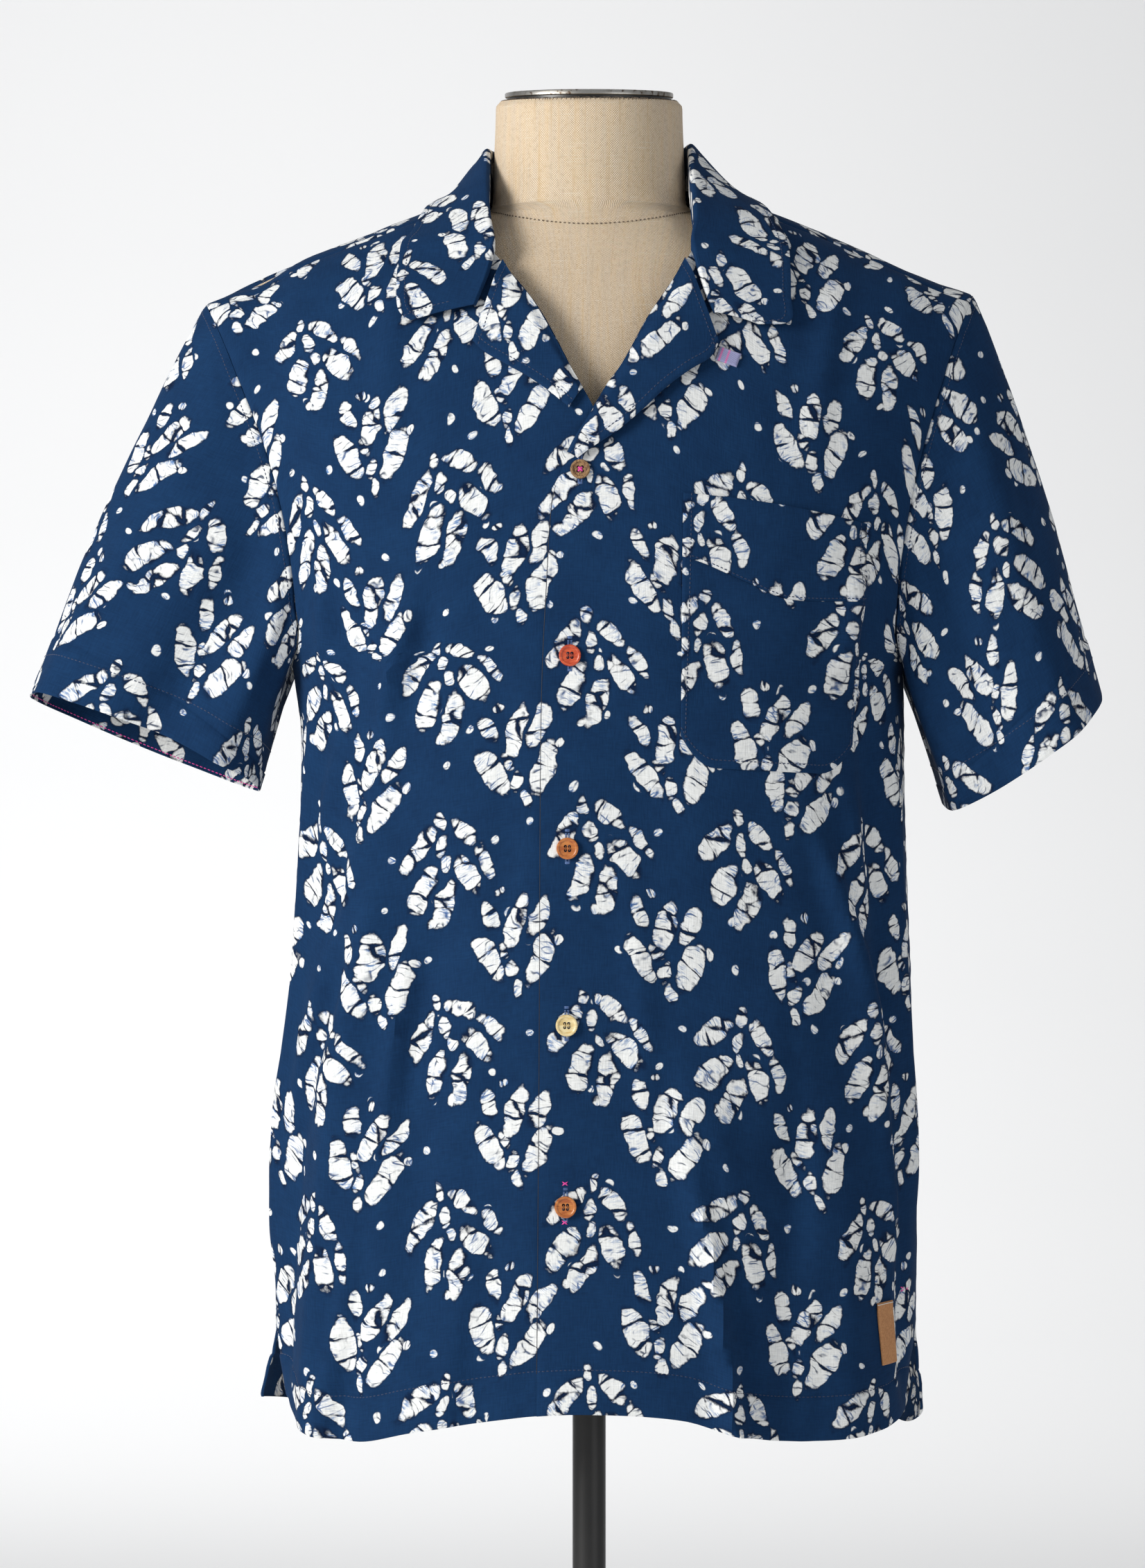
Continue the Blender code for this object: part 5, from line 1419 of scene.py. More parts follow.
def coconut_shell():
    """Coconut shell, turned and waxed: dull brown with darker pores and short lighter fibres."""
    made, tree, shader = start("coconut_shell", IOR=1.5)
    spot = in_millimetres(tree)
    fibre_at = calc3(tree, "MULTIPLY", spot, (1.6, 1.6, 0.5))
    fibre = cloudy(tree, fibre_at, 1.0, 5.0, Roughness=0.7)
    share = ramp(tree, fibre, 0.38, 0.6)
    colour = blend(tree, share, "#4A2E1C", "#B08A5E")
    rough = ramp(tree, fibre, 0, 1, 0.5, 0.75)
    feed(tree, shader, colour, rough, fibre, 0.15)
    return made


def worn_steel():
    """Pressed steel sheet, brushed and handled: fine rings from turning, duller patches and faint tarnish."""
    made, tree, shader = start("worn_steel", Metallic=1.0)
    spot = in_millimetres(tree)
    # The brushed rings are a tenth of a millimetre apart. They are drawn 0.8 mm apart so that they show.
    ring = node(
        tree,
        "TexWave",
        {"Vector": spot, "Scale": 0.39, "Distortion": 1.5, "Detail": 2.0},
        wave_type="RINGS",
        rings_direction="Z",
    ).outputs["Fac"]
    wear = cloudy(tree, spot, 1 / 14, 6.0, Roughness=0.65)
    share = ramp(tree, wear, 0.38, 0.66)
    clean = blend(tree, share, "#C9C7C2", "#8E887E")
    # Rust and old paint cling to the rim in specks two to four millimetres long.
    speck = cloudy(tree, spot, 1 / 3.5, 3.0, Roughness=0.6)
    rust = ramp(tree, speck, 0.56, 0.64, 0.0, 0.85)
    colour = blend(tree, rust, clean, "#5A4636")
    rough = ramp(tree, wear, 0.3, 0.7, 0.24, 0.46)
    feed(tree, shader, colour, rough, ring, 0.02)
    return made


def enamelled_steel():
    """Steel tube under black powder enamel: satin, with the faint orange-peel skin such a coat dries with."""
    made, tree, shader = start("enamelled_steel", IOR=1.5, Coat_Weight=0.15, Coat_Roughness=0.3)
    spot = in_millimetres(tree)
    peel = cloudy(tree, spot, 1 / 1.6, 1.0)
    dust = cloudy(tree, spot, 1 / 30, 4.0)
    colour = blend(tree, dust, "#161616", "#222222")
    rough = ramp(tree, dust, 0, 1, 0.3, 0.42)
    feed(tree, shader, colour, rough, peel, 0.05)
    return made


def woven_ribbon():
    """Woven polyester ribbon: lilac with pink stripes along it, ribbed across every 0.6 mm, faintly silky."""
    silky = {"Roughness": 0.55, "Sheen_Weight": 0.3, "Sheen_Roughness": 0.3}
    made, tree, shader = start("woven_ribbon", IOR=1.55, **silky)
    place = node(tree, "SeparateXYZ", {0: node(tree, "UVMap", uv_map="cloth").outputs[0]})
    off = calc(tree, "SUBTRACT", place.outputs["Y"], 4.0)
    from_middle = calc(tree, "ABSOLUTE", off)
    gap = calc(tree, "SUBTRACT", from_middle, 2.0)
    from_stripe = calc(tree, "ABSOLUTE", gap)
    stripe = ramp(tree, from_stripe, 0.45, 0.75, 1.0, 0.0)
    colour = blend(tree, stripe, "#A7A9D6", "#E486C4")
    ribs = calc(tree, "MULTIPLY", place.outputs["X"], 2 * pi / 0.6)
    rib = calc(tree, "SINE", ribs)
    feed(tree, shader, colour, height=rib, depth=0.12)
    return made


# The darker and the lighter colour of each thread and of each cast button.
THREADS = {
    "navy_thread": ("#0D1E3D", "#1D3761"),
    "pink_thread": ("#D8208C", "#FF5FBE"),
    "blue_thread": ("#2A4678", "#5D7FB6"),
    # This entry is not a thread: its near-black colours paint the shadow line beside the lapping front's
    # edge.
    "edge_thread": ("#050A18", "#0B1730"),
    "red_thread": ("#7E2413", "#B5442A"),
    "tan_thread": ("#6E3A1C", "#A5662F"),
    "cream_thread": ("#B79A62", "#DCC892"),
    "dark_thread": ("#4A3C2C", "#7A6750"),
    "white_cotton": ("#D8D2C6", "#F4F1EA"),
}
CASTS = {
    "red_button": ("#B23A1E", "#D9623A"),
    "tan_button": ("#A65626", "#CF8443"),
    "cream_button": ("#D9BC7C", "#F0DFAE"),
}
SINGLE_MAKERS = (
    batik_cotton, plain_linen, tan_leather, coconut_shell, worn_steel, enamelled_steel, woven_ribbon
)
MATERIALS = {}


def material(name):
    """Each material is made once, when the first piece needs it."""
    if name not in MATERIALS:
        if name in THREADS:
            MATERIALS[name] = sewing_thread(name, *THREADS[name])
        elif name in CASTS:
            MATERIALS[name] = horn_like(name, *CASTS[name])
        else:
            MATERIALS[name] = {maker.__name__: maker for maker in SINGLE_MAKERS}[name]()
    return MATERIALS[name]


# Buttons and trims


def flat_frame(x, height):
    """Axes on the front at a place: across, up and out."""
    out = outward(*front_place(x, height))
    up = unit(np.array([0, 0, 1.0]) - out * out[2])
    return np.cross(up, out), up, out


def button_body(name, spec, finish, dish):
    """A turned button with a raised rim, a dished middle and four drilled holes."""
    across, up, out = flat_frame(spec.x, spec.height)
    seat = front_point(spec.x, spec.height, CLOTH + BUTTON_LIFT)[0]
    radius = spec.diameter / 2
    bore, spacing = 0.95, 1.65  # radius of a hole, and its distance from the middle
    foot_inset, face_inset = 0.9, 2.6  # how far the underside and the dished face lie inside the radius
    count, hole_count = 48, 16  # sides of the rim and of a hole
    bm = bmesh.new()
    # The rim's section: how far it lies inside the full radius, and its height.
    profile = [(foot_inset, 0.0), (0.25, 0.25), (0.0, 0.8), (0.0, BUTTON_THICK - 0.7)]
    profile += [(0.3, BUTTON_THICK - 0.15), (0.85, BUTTON_THICK), (1.4, BUTTON_THICK - 0.15)]
    profile += [(1.9, BUTTON_THICK - dish), (face_inset, BUTTON_THICK - dish - 0.12)]

    def put(px, py, h):
        return bm.verts.new((seat + across * px + up * py + out * h) / 1000)

    rings = []
    for inset, h in profile:
        r = radius - inset
        rings.append([put(r * cos(2 * pi * i / count), r * sin(2 * pi * i / count), h) for i in range(count)])
    for low, high in zip(rings, rings[1:]):
        for i in range(count):
            k = (i + 1) % count
            bm.faces.new((low[i], low[k], high[k], high[i]))
    # Each quarter of the face runs from the dish's edge to the rim of its own hole, and meets the others
    # on the middle lines.
    face, steps = BUTTON_THICK - dish - 0.15, count // 4
    centre_top, centre_low = put(0, 0, face), put(0, 0, 0.0)
    arms = {}
    for level, h, reach in (("top", face, radius - face_inset), ("low", 0.0, radius - foot_inset)):
        for q in range(4):
            a = pi / 2 * q
            arms[level, q] = [put(cos(a) * reach * s, sin(a) * reach * s, h) for s in (0.33, 0.66)]
    for level, ring, centre in (("top", rings[-1], centre_top), ("low", rings[0], centre_low)):
        h = face if level == "top" else 0.0
        for q in range(4):
            middle = pi / 2 * q + pi / 4
            cx, cy = spacing * cos(middle), spacing * sin(middle)
            angles = [middle + pi + 2 * pi * s / hole_count for s in range(hole_count)]
            hole = [put(cx + bore * cos(a), cy + bore * sin(a), h) for a in angles]
            arc = [ring[(q * steps + s) % count] for s in range(steps + 1)]
            start_arm, end_arm = arms[level, q], arms[level, (q + 1) % 4]
            border = [centre] + start_arm + arc + list(reversed(end_arm))
            edges = []
            for loop in (border, hole):
                for a, b in zip(loop, loop[1:] + loop[:1]):
                    found = bm.edges.get((a, b)) or bm.edges.new((a, b))
                    edges.append(found)
            bmesh.ops.triangle_fill(bm, edges=edges, use_beauty=True, normal=out)
            arms[level + "hole", q] = hole
    for q in range(4):
        for s in range(hole_count):
            k = (s + 1) % hole_count
            top, low = arms["tophole", q], arms["lowhole", q]
            bm.faces.new((top[s], top[k], low[k], low[s]))
    bmesh.ops.recalc_face_normals(bm, faces=bm.faces)
    mesh = bpy.data.meshes.new(name + "_turned")
    bm.to_mesh(mesh)
    bm.free()
    mesh.materials.append(material(finish))
    mesh.shade_smooth()
    mesh.set_sharp_from_angle(angle=radians(35))
    obj = bpy.data.objects.new(name + "_turned", mesh)
    bpy.context.scene.collection.objects.link(obj)
    slots = {"coconut_shell": "coconut", "red_button": "button_red", "tan_button": "button_tan"}
    finish_piece(obj, slots.get(finish, "button_cream"), name)
    return seat, across, up, out, face, spacing


def strand(points, thick, sides=8):
    """A tube of thread through points, as rings, and its faces."""
    points = np.asarray(points, float)
    along = unit(np.gradient(points, axis=0))
    side = unit(np.cross(along, np.array([0.31, -0.9, 0.2])))
    other = np.cross(along, side)
    verts, faces = [], []
    for j, (p, a, b) in enumerate(zip(points, side, other)):
        size = thick / 2 * (0.35 if j in (0, len(points) - 1) else 1.0)
        for k in range(sides):
            angle = 2 * pi * k / sides
            verts.append(p + (a * cos(angle) + b * sin(angle)) * size)
            if j:
                m = (k + 1) % sides
                base = (j - 1) * sides
                faces.append((base + k, base + m, base + sides + m, base + sides + k))
    faces.append(tuple(range(sides - 1, -1, -1)))
    faces.append(tuple(range((len(points) - 1) * sides, len(points) * sides)))
    return verts, faces


def strands(name, runs, thick, finish, slot="shirt_cotton"):
    verts, faces = [], []
    for run in runs:
        more, around = strand(run, thick)
        faces += [tuple(len(verts) + v for v in face) for face in around]
        verts += more
    return finish_piece(mesh_piece(name, verts, faces, finish), slot)


# A thread's way from hole to hole: its share of the way, and its height over the button's face.
THREAD_ARCH = ((0, -1.4), (0.02, -0.4), (0.12, 0.25), (0.5, 0.45), (0.88, 0.25), (0.98, -0.4), (1, -1.4))


def button_thread(name, seat, finish, crossed):
    """Thread through the four holes: two thin bars side by side, or a fuller cross."""
    at, across, up, out, face, spacing = seat
    d = spacing / 2**0.5
    corners = [(-d, -d), (-d, d), (d, -d), (d, d)]
    pairs = [(0, 3), (1, 2)] if crossed else [(0, 1), (2, 3)]
    runs = []
    for order, (a, b) in enumerate(pairs):
        for shift in (-0.32, 0.0, 0.32) if crossed else (-0.14, 0.14):
            start_at, end_at = np.array(corners[a]), np.array(corners[b])
            way = unit(end_at - start_at)
            off = np.array([-way[1], way[0]]) * shift
            run = []
            for t, h in THREAD_ARCH:
                flat = mix(start_at, end_at, t) + off
                h = face + h + order * 0.22 - abs(shift) * 0.3
                run.append(at + across * flat[0] + up * flat[1] + out * h)
            runs.append(finer(run, 3, axis=0))
    return strands(name, runs, 0.42 if crossed else 0.3, finish)


def buttonhole(name, x, height, length):
    """A vertical worked buttonhole: close bars of thread on both sides of a slit, and a tack at each end."""
    runs = []
    for side in (-1, 1):
        for k in range(int(length / 0.75)):
            h = height - length / 2 + 0.75 * (k + 0.5)
            path, normals = front_point(np.array([x + side * 0.25, x + side * 1.5]), np.array([h, h]), CLOTH)
            runs.append((path, normals, 1.25, 1.5, 0.62, 0.12))
    for end in (-1, 1):
        for k in range(3):
            h = height + end * (length / 2 + 0.3 + 0.45 * k)
            path, normals = front_point(np.array([x - 1.5, x + 1.5]), np.array([h, h]), CLOTH)
            runs.append((path, normals, 3.0, 3.2, 0.6, 0.2))
    return stitching(name, runs, "blue_thread")


def strip(name, centre, size, lean, thick, lift, finish, slot, replaces):
    """A thin strip that lies on the front, with softened edges."""
    swing = radians(lean)
    s = spread(16, near_start=(0.3, 0.7), near_end=(0.3, 0.7), length=size[0])[None, :] - 0.5
    t = spread(30, near_start=(0.3, 0.8), near_end=(0.3, 0.8), length=size[1])[:, None] - 0.5
    a, b = s * size[0] + 0 * t, t * size[1] + 0 * s
    x = centre[0] + a * cos(swing) - b * sin(swing)
    height = centre[1] + a * sin(swing) + b * cos(swing)
    to_edge = np.minimum(size[0] / 2 - np.abs(a), size[1] / 2 - np.abs(b))
    rounding = 0.5 * thick * (1 - ease(to_edge / 0.9))
    curl = 0.5 * ease((np.abs(b) - size[1] * 0.3) / (size[1] * 0.2)) * np.sign(b)
    inner, normals = front_point(x, height, lift + 0 * x)
    inner = pushed(inner, normals, np.maximum(curl, 0))
    outer = pushed(inner, normals, thick - rounding)
    uv = np.stack([b + size[1] / 2, a + size[0] / 2], axis=-1)
    obj = cloth_piece(name, outer, inner, finish, uv, angle=70)
    finish_piece(obj, slot, *replaces)
    return outer, normals


# The dress form and its stand


def form_reach(angle, height):
    """How far the torso reaches from its axis, in a direction (0 is +X) at a height."""
    angle, height = np.broadcast_arrays(np.asarray(angle, float), np.asarray(height, float))
    forward = sind(angle) < 0
    cx, cy = np.abs(cosd(angle)), np.abs(sind(angle))
    base = FORM[-1].height
    at = np.minimum(height, base)
    wide = read(FORM, "height", "half_width", at)
    deep = np.where(forward, read(FORM, "height", "front", at), read(FORM, "height", "back", at))
    below = 1 / ((cx / wide) ** SQUARENESS + (cy / deep) ** SQUARENESS) ** (1 / SQUARENESS)
    deep = np.where(forward, FORM[-1].front, FORM[-1].back)
    facing = np.where(cosd(angle) >= 0, 1, -1)
    low, high = np.zeros(angle.shape), np.full(angle.shape, 260.0)
    for _ in range(30):
        reach = (low + high) / 2
        x, y = reach * cx, reach * cy
        top = ridge_height(x * facing) - FORM_GAP
        top = top - NECK_SINK * (1 - ease((x - NECK_HALF_WIDTH) / NECK_SINK_REACH))
        climb = np.clip((height - base) / (top - base), 0, 1)
        room = 1 - climb**SQUARENESS
        share = x / mix(FORM[-1].half_width, FORM_RIDGE_REACH, climb)
        within = np.maximum(room * (1 - np.minimum(share, 1) ** SQUARENESS), 0)
        inside = (share < 1) & (y < deep * within ** (1 / SQUARENESS))
        low, high = np.where(inside, reach, low), np.where(inside, high, reach)
    return np.where(height <= base, below, low)


NECK_UNION_FRONT = 5.0  # the neck runs softly into the chest in front
NECK_TAPER = 0.034  # how much narrower the neck is at its top
NECK_SEAM, NECK_SEAM_RISE = 330.0, 13.0  # height of the neck's seam in front, and its rise to the sides
SEAM_GROOVE, SEAM_GROOVE_WIDTH = 0.8, 1.6
CAP_FOLD = 2.4  # how far the cover folds in over the neck's top
FOOT_FOLD = 2.5  # and under the torso's foot
RAW_ENDS = 150  # loose yarn ends round the neck's disc


def neck_slope(height):
    """The slope of the neck's levels, which grows to that of its top."""
    return NECK_SLOPE * ease((height - NECK_SLOPE_FROM) / (NECK_TOP - NECK_SLOPE_FROM))


def cover_reach(angle, height):
    """The cover's distance from the axis: the torso, and the neck that grows out of it."""
    across, along = cosd(angle), sind(angle)
    body = np.where(height < NECK_CLEAR, form_reach(angle, np.minimum(height, NECK_CLEAR)), 0.0)
    taper = 1 - NECK_TAPER * ease((height - 345) / 66)
    neck = taper / np.hypot(across / NECK_HALF_WIDTH, along / NECK_HALF_DEPTH)
    union = mix(NECK_UNION, NECK_UNION_FRONT, ease((-along - 0.25) / 0.5))
    return np.where(height > FORM[-1].height, (body**union + neck**union) ** (1 / union), body)


def on_form(angle, height, reach):
    x, y = reach * cosd(angle), reach * sind(angle)
    return np.stack([x, y, DATUM + height + neck_slope(height) * y], axis=-1)


def neck_seam_height(angle):
    """The seam dips at the front and rises over the shoulders."""
    return NECK_SEAM + NECK_SEAM_RISE * cosd(angle) ** 2


def form_cloth():
    heights = np.r_[
        [-300, -299.4, -298, -295, -290],
        np.arange(-282, 60, 12.0),
        np.arange(66, 290, 7.0),
        np.arange(292, 360, 2.5),
        np.arange(362, 404, 3.0),
        NECK_TOP - np.array([4.5, 2.6, 1.3, 0.4, 0.0]),
    ]
    columns, rows = 120, len(heights)
    # The columns start at the back, where the cover's own seam lies.
    a, h = np.meshgrid(90 + np.arange(columns) * 360 / columns, heights)
    reach = cover_reach(a, h)
    reach = reach - FOOT_FOLD * ease((-290 - h) / 9) * (h < -288)
    reach = reach - CAP_FOLD * ease((h - NECK_TOP + 5) / 5) ** 3
    reach = reach - SEAM_GROOVE * bell(h - neck_seam_height(a), SEAM_GROOVE_WIDTH) * (h > 250)
    points = on_form(a, h, reach)
    u, v = cloth_size(closed(points))
    u = np.linspace(-0.5, 0.5, columns + 1)[None, :] * u[:, -1:]
    v = v[:, columns // 2]
    faces, uvs = [], []
    for j in range(rows - 1):
        for i in range(columns):
            k = (i + 1) % columns
            faces.append((j * columns + i, j * columns + k, (j + 1) * columns + k, (j + 1) * columns + i))
            uvs += [(u[b, a], v[b]) for b, a in ((j, i), (j, i + 1), (j + 1, i + 1), (j + 1, i))]
    flat = points.reshape(-1, 3).tolist() + [[0, 0, DATUM + FORM_BOTTOM], [0, 0, DATUM + NECK_TOP]]
    for row, centre, flip in ((0, rows * columns, True), (rows - 1, rows * columns + 1, False)):
        for i in range(columns):
            k = (i + 1) % columns
            face = (row * columns + i, row * columns + k, centre)
            corners = [(points[row, i, 0], points[row, i, 1]), (points[row, k, 0], points[row, k, 1]), (0, 0)]
            faces.append(face[::-1] if flip else face)
            uvs += corners[::-1] if flip else corners
    obj = mesh_piece("form_cover", flat, faces, "plain_linen", uvs, angle=60)
    return finish_piece(obj, "linen", "form_torso")


def form_seam():
    """The neck seam's stitches, which show as small dark dashes."""
    angle = np.linspace(180, 360, 160)
    h = neck_seam_height(angle)
    path = on_form(angle, h, cover_reach(angle, h) - 0.4)
    normals = np.stack([cosd(angle), sind(angle), 0 * angle], axis=-1)
    return stitching("form_seam_stitches", [(path, normals, 2.7, 1.5, 0.8, 0.25)], "dark_thread", "linen")


def turned(name, profile, finish, slot, replaces, segments=96, slope=0.0):
    """A turned solid from pairs of radius and height that start and end on the axis.

    slope shears it, so that it rises to the back.
    """
    verts, rings, faces = [], [], []
    for radius, height in profile:
        ring = []
        for i in range(segments if radius else 1):
            angle = 2 * pi * i / segments
            ring.append(len(verts))
            verts.append((radius * cos(angle), radius * sin(angle), height + slope * radius * sin(angle)))
        rings.append(ring)
    for low, high in zip(rings, rings[1:]):
        for i in range(segments):
            k = (i + 1) % segments
            if len(low) == 1:
                faces.append((low[0], high[k], high[i]))
            elif len(high) == 1:
                faces.append((low[i], low[k], high[0]))
            else:
                faces.append((low[i], low[k], high[k], high[i]))
    obj = mesh_piece(name, verts, faces, finish, angle=40)
    return finish_piece(obj, slot, *replaces)


def cap_and_stand():
    top = DATUM + NECK_TOP
    low, high, rim = top + FIT_GAP, top + CAP_THICK, CAP_RADIUS
    disc = [(0, low + 2.0), (rim - 0.5, low + 2.0), (rim, low + 2.4), (rim, high - 0.7)]
    disc += [(rim - 0.4, high - 0.15), (rim - 1.2, high), (rim - 2.4, high - 0.25), (0, high - 0.1)]
    turned("neck_disc", disc, "worn_steel", "steel", ["neck_cap"], slope=NECK_SLOPE)
    # A black enamelled ring fills the 2 mm under the disc, set in a little from its rim: it paints the shadow
    # line beneath the disc.
    shadow_ring = [(0, low), (rim - 1.2, low), (rim - 1.2, low + 1.9), (0, low + 1.9)]
    turned("disc_washer", shadow_ring, "enamelled_steel", "steel", ["neck_cap"], slope=NECK_SLOPE)
    foot, head = HUB_TOP + FIT_GAP, DATUM + FORM_BOTTOM - FIT_GAP
    pole = [(0, foot), (POLE_RADIUS, foot), (POLE_RADIUS, head - 60), (POLE_RADIUS, head), (0, head)]
    turned("pole_tube", pole, "enamelled_steel", "black_enamel", ["pole"], segments=64)
    edge, face, hub = BASE_RADIUS, BASE_THICK, HUB_RADIUS
    plate = [(0, 0), (edge - 2, 0), (edge - 0.6, 0.6), (edge, 2), (edge, face - 2), (edge - 0.6, face - 0.6)]
    plate += [(edge - 2, face), (hub + 14, face + 1.2), (hub + 4, face + 2.4), (hub + 1, face + 4)]
    plate += [(hub, face + 7), (hub - 3, HUB_TOP - 1.5), (hub - 4.5, HUB_TOP), (0, HUB_TOP)]
    turned("base_plate", plate, "enamelled_steel", "black_enamel", ["base"], segments=128)
    # The cover's raw edge shows as short ends of yarn round the disc.
    runs = []
    for k in range(RAW_ENDS):
        angle = 2 * pi * k / RAW_ENDS + 0.02 * sin(7.0 * k)
        reach = NECK_HALF_WIDTH * (1 - NECK_TAPER) - CAP_FOLD
        inward, lean = 1.2 + 0.8 * sin(3.3 * k), 0.05 * sin(11.0 * k)
        places = [(angle, reach, -1.0), (angle, reach - 0.8, 0.4), (angle + lean, reach - 1.2 - inward, 0.9)]
        runs.append([(r * cos(a), r * sin(a), top + up + NECK_SLOPE * r * sin(a)) for a, r, up in places])
    strands("cover_raw_edge", runs, 0.5, "dark_thread", "linen")


# Settings that a user would change


def size_property(name, description, default, low, high):
    return bpy.props.FloatProperty(
        name=name, description=description, default=default, min=low, max=high,
        precision=5, subtype="DISTANCE", unit="LENGTH",
    )


class ShirtSizes(bpy.types.PropertyGroup):
    """Sizes of the shirt's stitching and weave."""

    thread_spacing: size_property(
        "Thread spacing", "Distance between the threads that the weave shows", 0.0009, 0.0003, 0.003
    )
    stitch_pitch: size_property("Stitch pitch", "Distance from one stitch to the next", 0.0026, 0.0015, 0.005)
    stitch_width: size_property("Stitch width", "Thickness of a stitch", 0.0006, 0.0003, 0.0015)


def colour_property(name, description, shade):
    return bpy.props.FloatVectorProperty(
        name=name, description=description, default=linear(shade)[:3], min=0, max=1, size=3, subtype="COLOR"
    )


class ShirtColours(bpy.types.PropertyGroup):
    """Colours of the printed cotton."""

    navy: colour_property("Navy", "Deep parts of the dyed ground", "#112C4E")
    navy_light: colour_property("Light navy", "Lighter parts of the dyed ground", "#193B62")
    ink: colour_property("Ink", "Dark rims and cracks in the ground", "#091630")
    white: colour_property("White", "Leaves left bare", "#F0F2F1")
    stain: colour_property("Pale blue", "Faint stain on the leaves", "#D3DDE8")
    seep: colour_property("Mid blue", "Dye that seeped into the leaves' cracks", "#4F7CB4")
    vein: colour_property("Vein blue", "Thin cracks where the dye seeped", "#2C568F")


class FormColours(bpy.types.PropertyGroup):
    """Colours of the form's linen cover."""

    linen: colour_property("Linen", "Yarn that lies on top", "#FBEAD2")
    linen_gold: colour_property("Golden yarn", "Yarn that runs golden", "#D0AE7C")
    linen_grey: colour_property("Grey yarn", "Yarn that runs grey", "#BBA994")
    linen_light: colour_property("Light slubs", "Thick pale stretches of yarn", "#F3ECDD")


# Operators, one for each piece or group of like pieces

GRIDS = {}  # outer points and normals of the cloth pieces, for what is sewn on them


class ShirtPiece:
    """What the operators share."""

    bl_options = {"REGISTER", "UNDO"}


class SHIRT_OT_fronts(ShirtPiece, bpy.types.Operator):
    """Makes the two fronts, the wearer's left one lapping over the right one"""

    bl_idname = "shirt.fronts"
    bl_label = "Fronts"

    def execute(self, context):
        right, *GRIDS["front_right"] = front_cloth("front_right", LAPPED_EDGE, -1, False)
        left, *GRIDS["front_left"] = front_cloth("front_left", LAPPING_EDGE, 1, True)
        return {"FINISHED"}


class SHIRT_OT_back(ShirtPiece, bpy.types.Operator):
    """Makes the back, which reaches over the shoulders to the shoulder seams"""

    bl_idname = "shirt.back"
    bl_label = "Back"

    def execute(self, context):
        back, *GRIDS["back"] = back_cloth()
        return {"FINISHED"}


class SHIRT_OT_sleeves(ShirtPiece, bpy.types.Operator):
    """Makes the two short sleeves with their turned hems"""

    bl_idname = "shirt.sleeves"
    bl_label = "Sleeves"

    def execute(self, context):
        for name, side, cuff in (("sleeve_right", -1, CUFFS[0]), ("sleeve_left", 1, CUFFS[1])):
            sleeve, *GRIDS[name] = sleeve_cloth(name, side, cuff)
        return {"FINISHED"}


class SHIRT_OT_collar(ShirtPiece, bpy.types.Operator):
    """Makes the camp collar and the two lapels that the fronts' facings turn back into"""

    bl_idname = "shirt.collar"
    bl_label = "Collar and lapels"

    def execute(self, context):
        collar, *GRIDS["collar"] = collar_cloth()
        right, *GRIDS["lapel_right"] = lapel_cloth("lapel_right", LAPEL_RIGHT, RIGHT_LAPEL_LIFT, False)
        left, *GRIDS["lapel_left"] = lapel_cloth("lapel_left", LAPEL_LEFT, LEFT_LAPEL_LIFT, True)
        return {"FINISHED"}


class SHIRT_OT_pocket(ShirtPiece, bpy.types.Operator):
    """Makes the chest pocket and the band along its top"""

    bl_idname = "shirt.pocket"
    bl_label = "Chest pocket"

    def execute(self, context):
        (pocket, *GRIDS["pocket"]), (band, *GRIDS["pocket_band"]) = pocket_cloths()
        return {"FINISHED"}


class SHIRT_OT_stitching(ShirtPiece, bpy.types.Operator):
    """Makes the rows of stitches along the hems, the seams, the collar and the pocket"""

    bl_idname = "shirt.stitching"
    bl_label = "Stitching"

    def execute(self, context):
        sizes = context.scene.shirt_sizes
        pitch, width = sizes.stitch_pitch * 1000, sizes.stitch_width * 1000
        lines = [from_bottom(*GRIDS[name], HEM_DEPTH) for name in ("front_right", "front_left", "back")]
        for name in ("sleeve_right", "sleeve_left"):
            tube = [closed(grid) for grid in GRIDS[name]]
            lines += [from_bottom(*tube, CUFF_DEPTH, top=True), from_bottom(*tube, SEAM_MARGIN)]
        lines.append(from_side(*GRIDS["collar"], SEAM_MARGIN, last=True))
        ends = [grid[:, FALL_START:] for grid in GRIDS["collar"]]
        lines += [from_bottom(*ends, SEAM_MARGIN, top=top) for top in (False, True)]
        for name in ("lapel_right", "lapel_left"):
            lines += [from_side(*GRIDS[name], SEAM_MARGIN, last=True), from_bottom(*GRIDS[name], SEAM_MARGIN)]
        for name, below in (("pocket", SEAM_MARGIN), ("pocket_band", 2.0)):
            foot = from_bottom(*GRIDS[name], below)
            sides = [from_side(*GRIDS[name], SEAM_MARGIN, last=last) for last in (False, True)]
            lines += [*sides, foot] if name == "pocket" else [foot, *sides]
        runs = [(*line, pitch, STITCH_SHARE * pitch, width, STITCH_PROUD) for line in lines]
        stitching("seam_stitches", runs, "navy_thread")
        return {"FINISHED"}


class SHIRT_OT_buttons(ShirtPiece, bpy.types.Operator):
    """Makes the five buttons with their threads and buttonholes"""

    bl_idname = "shirt.buttons"
    bl_label = "Buttons"

    def execute(self, context):
        finishes = ["coconut_shell", "red_button", "tan_button", "cream_button", "tan_button"]
        threads = ["pink_thread", "red_thread", "tan_thread", "cream_thread", "tan_thread"]
        for k, (spec, finish, thread) in enumerate(zip(BUTTONS, finishes, threads)):
            dish = 0.9 if finish == "coconut_shell" else 0.65
            seat = button_body(f"button_{k + 1}", spec, finish, dish)
            button_thread(f"button_{k + 1}_thread", seat, thread, crossed=k == 0)
            buttonhole(f"buttonhole_{k + 1}", spec.x, spec.height + 1.0, spec.diameter + 4.5)
        return {"FINISHED"}


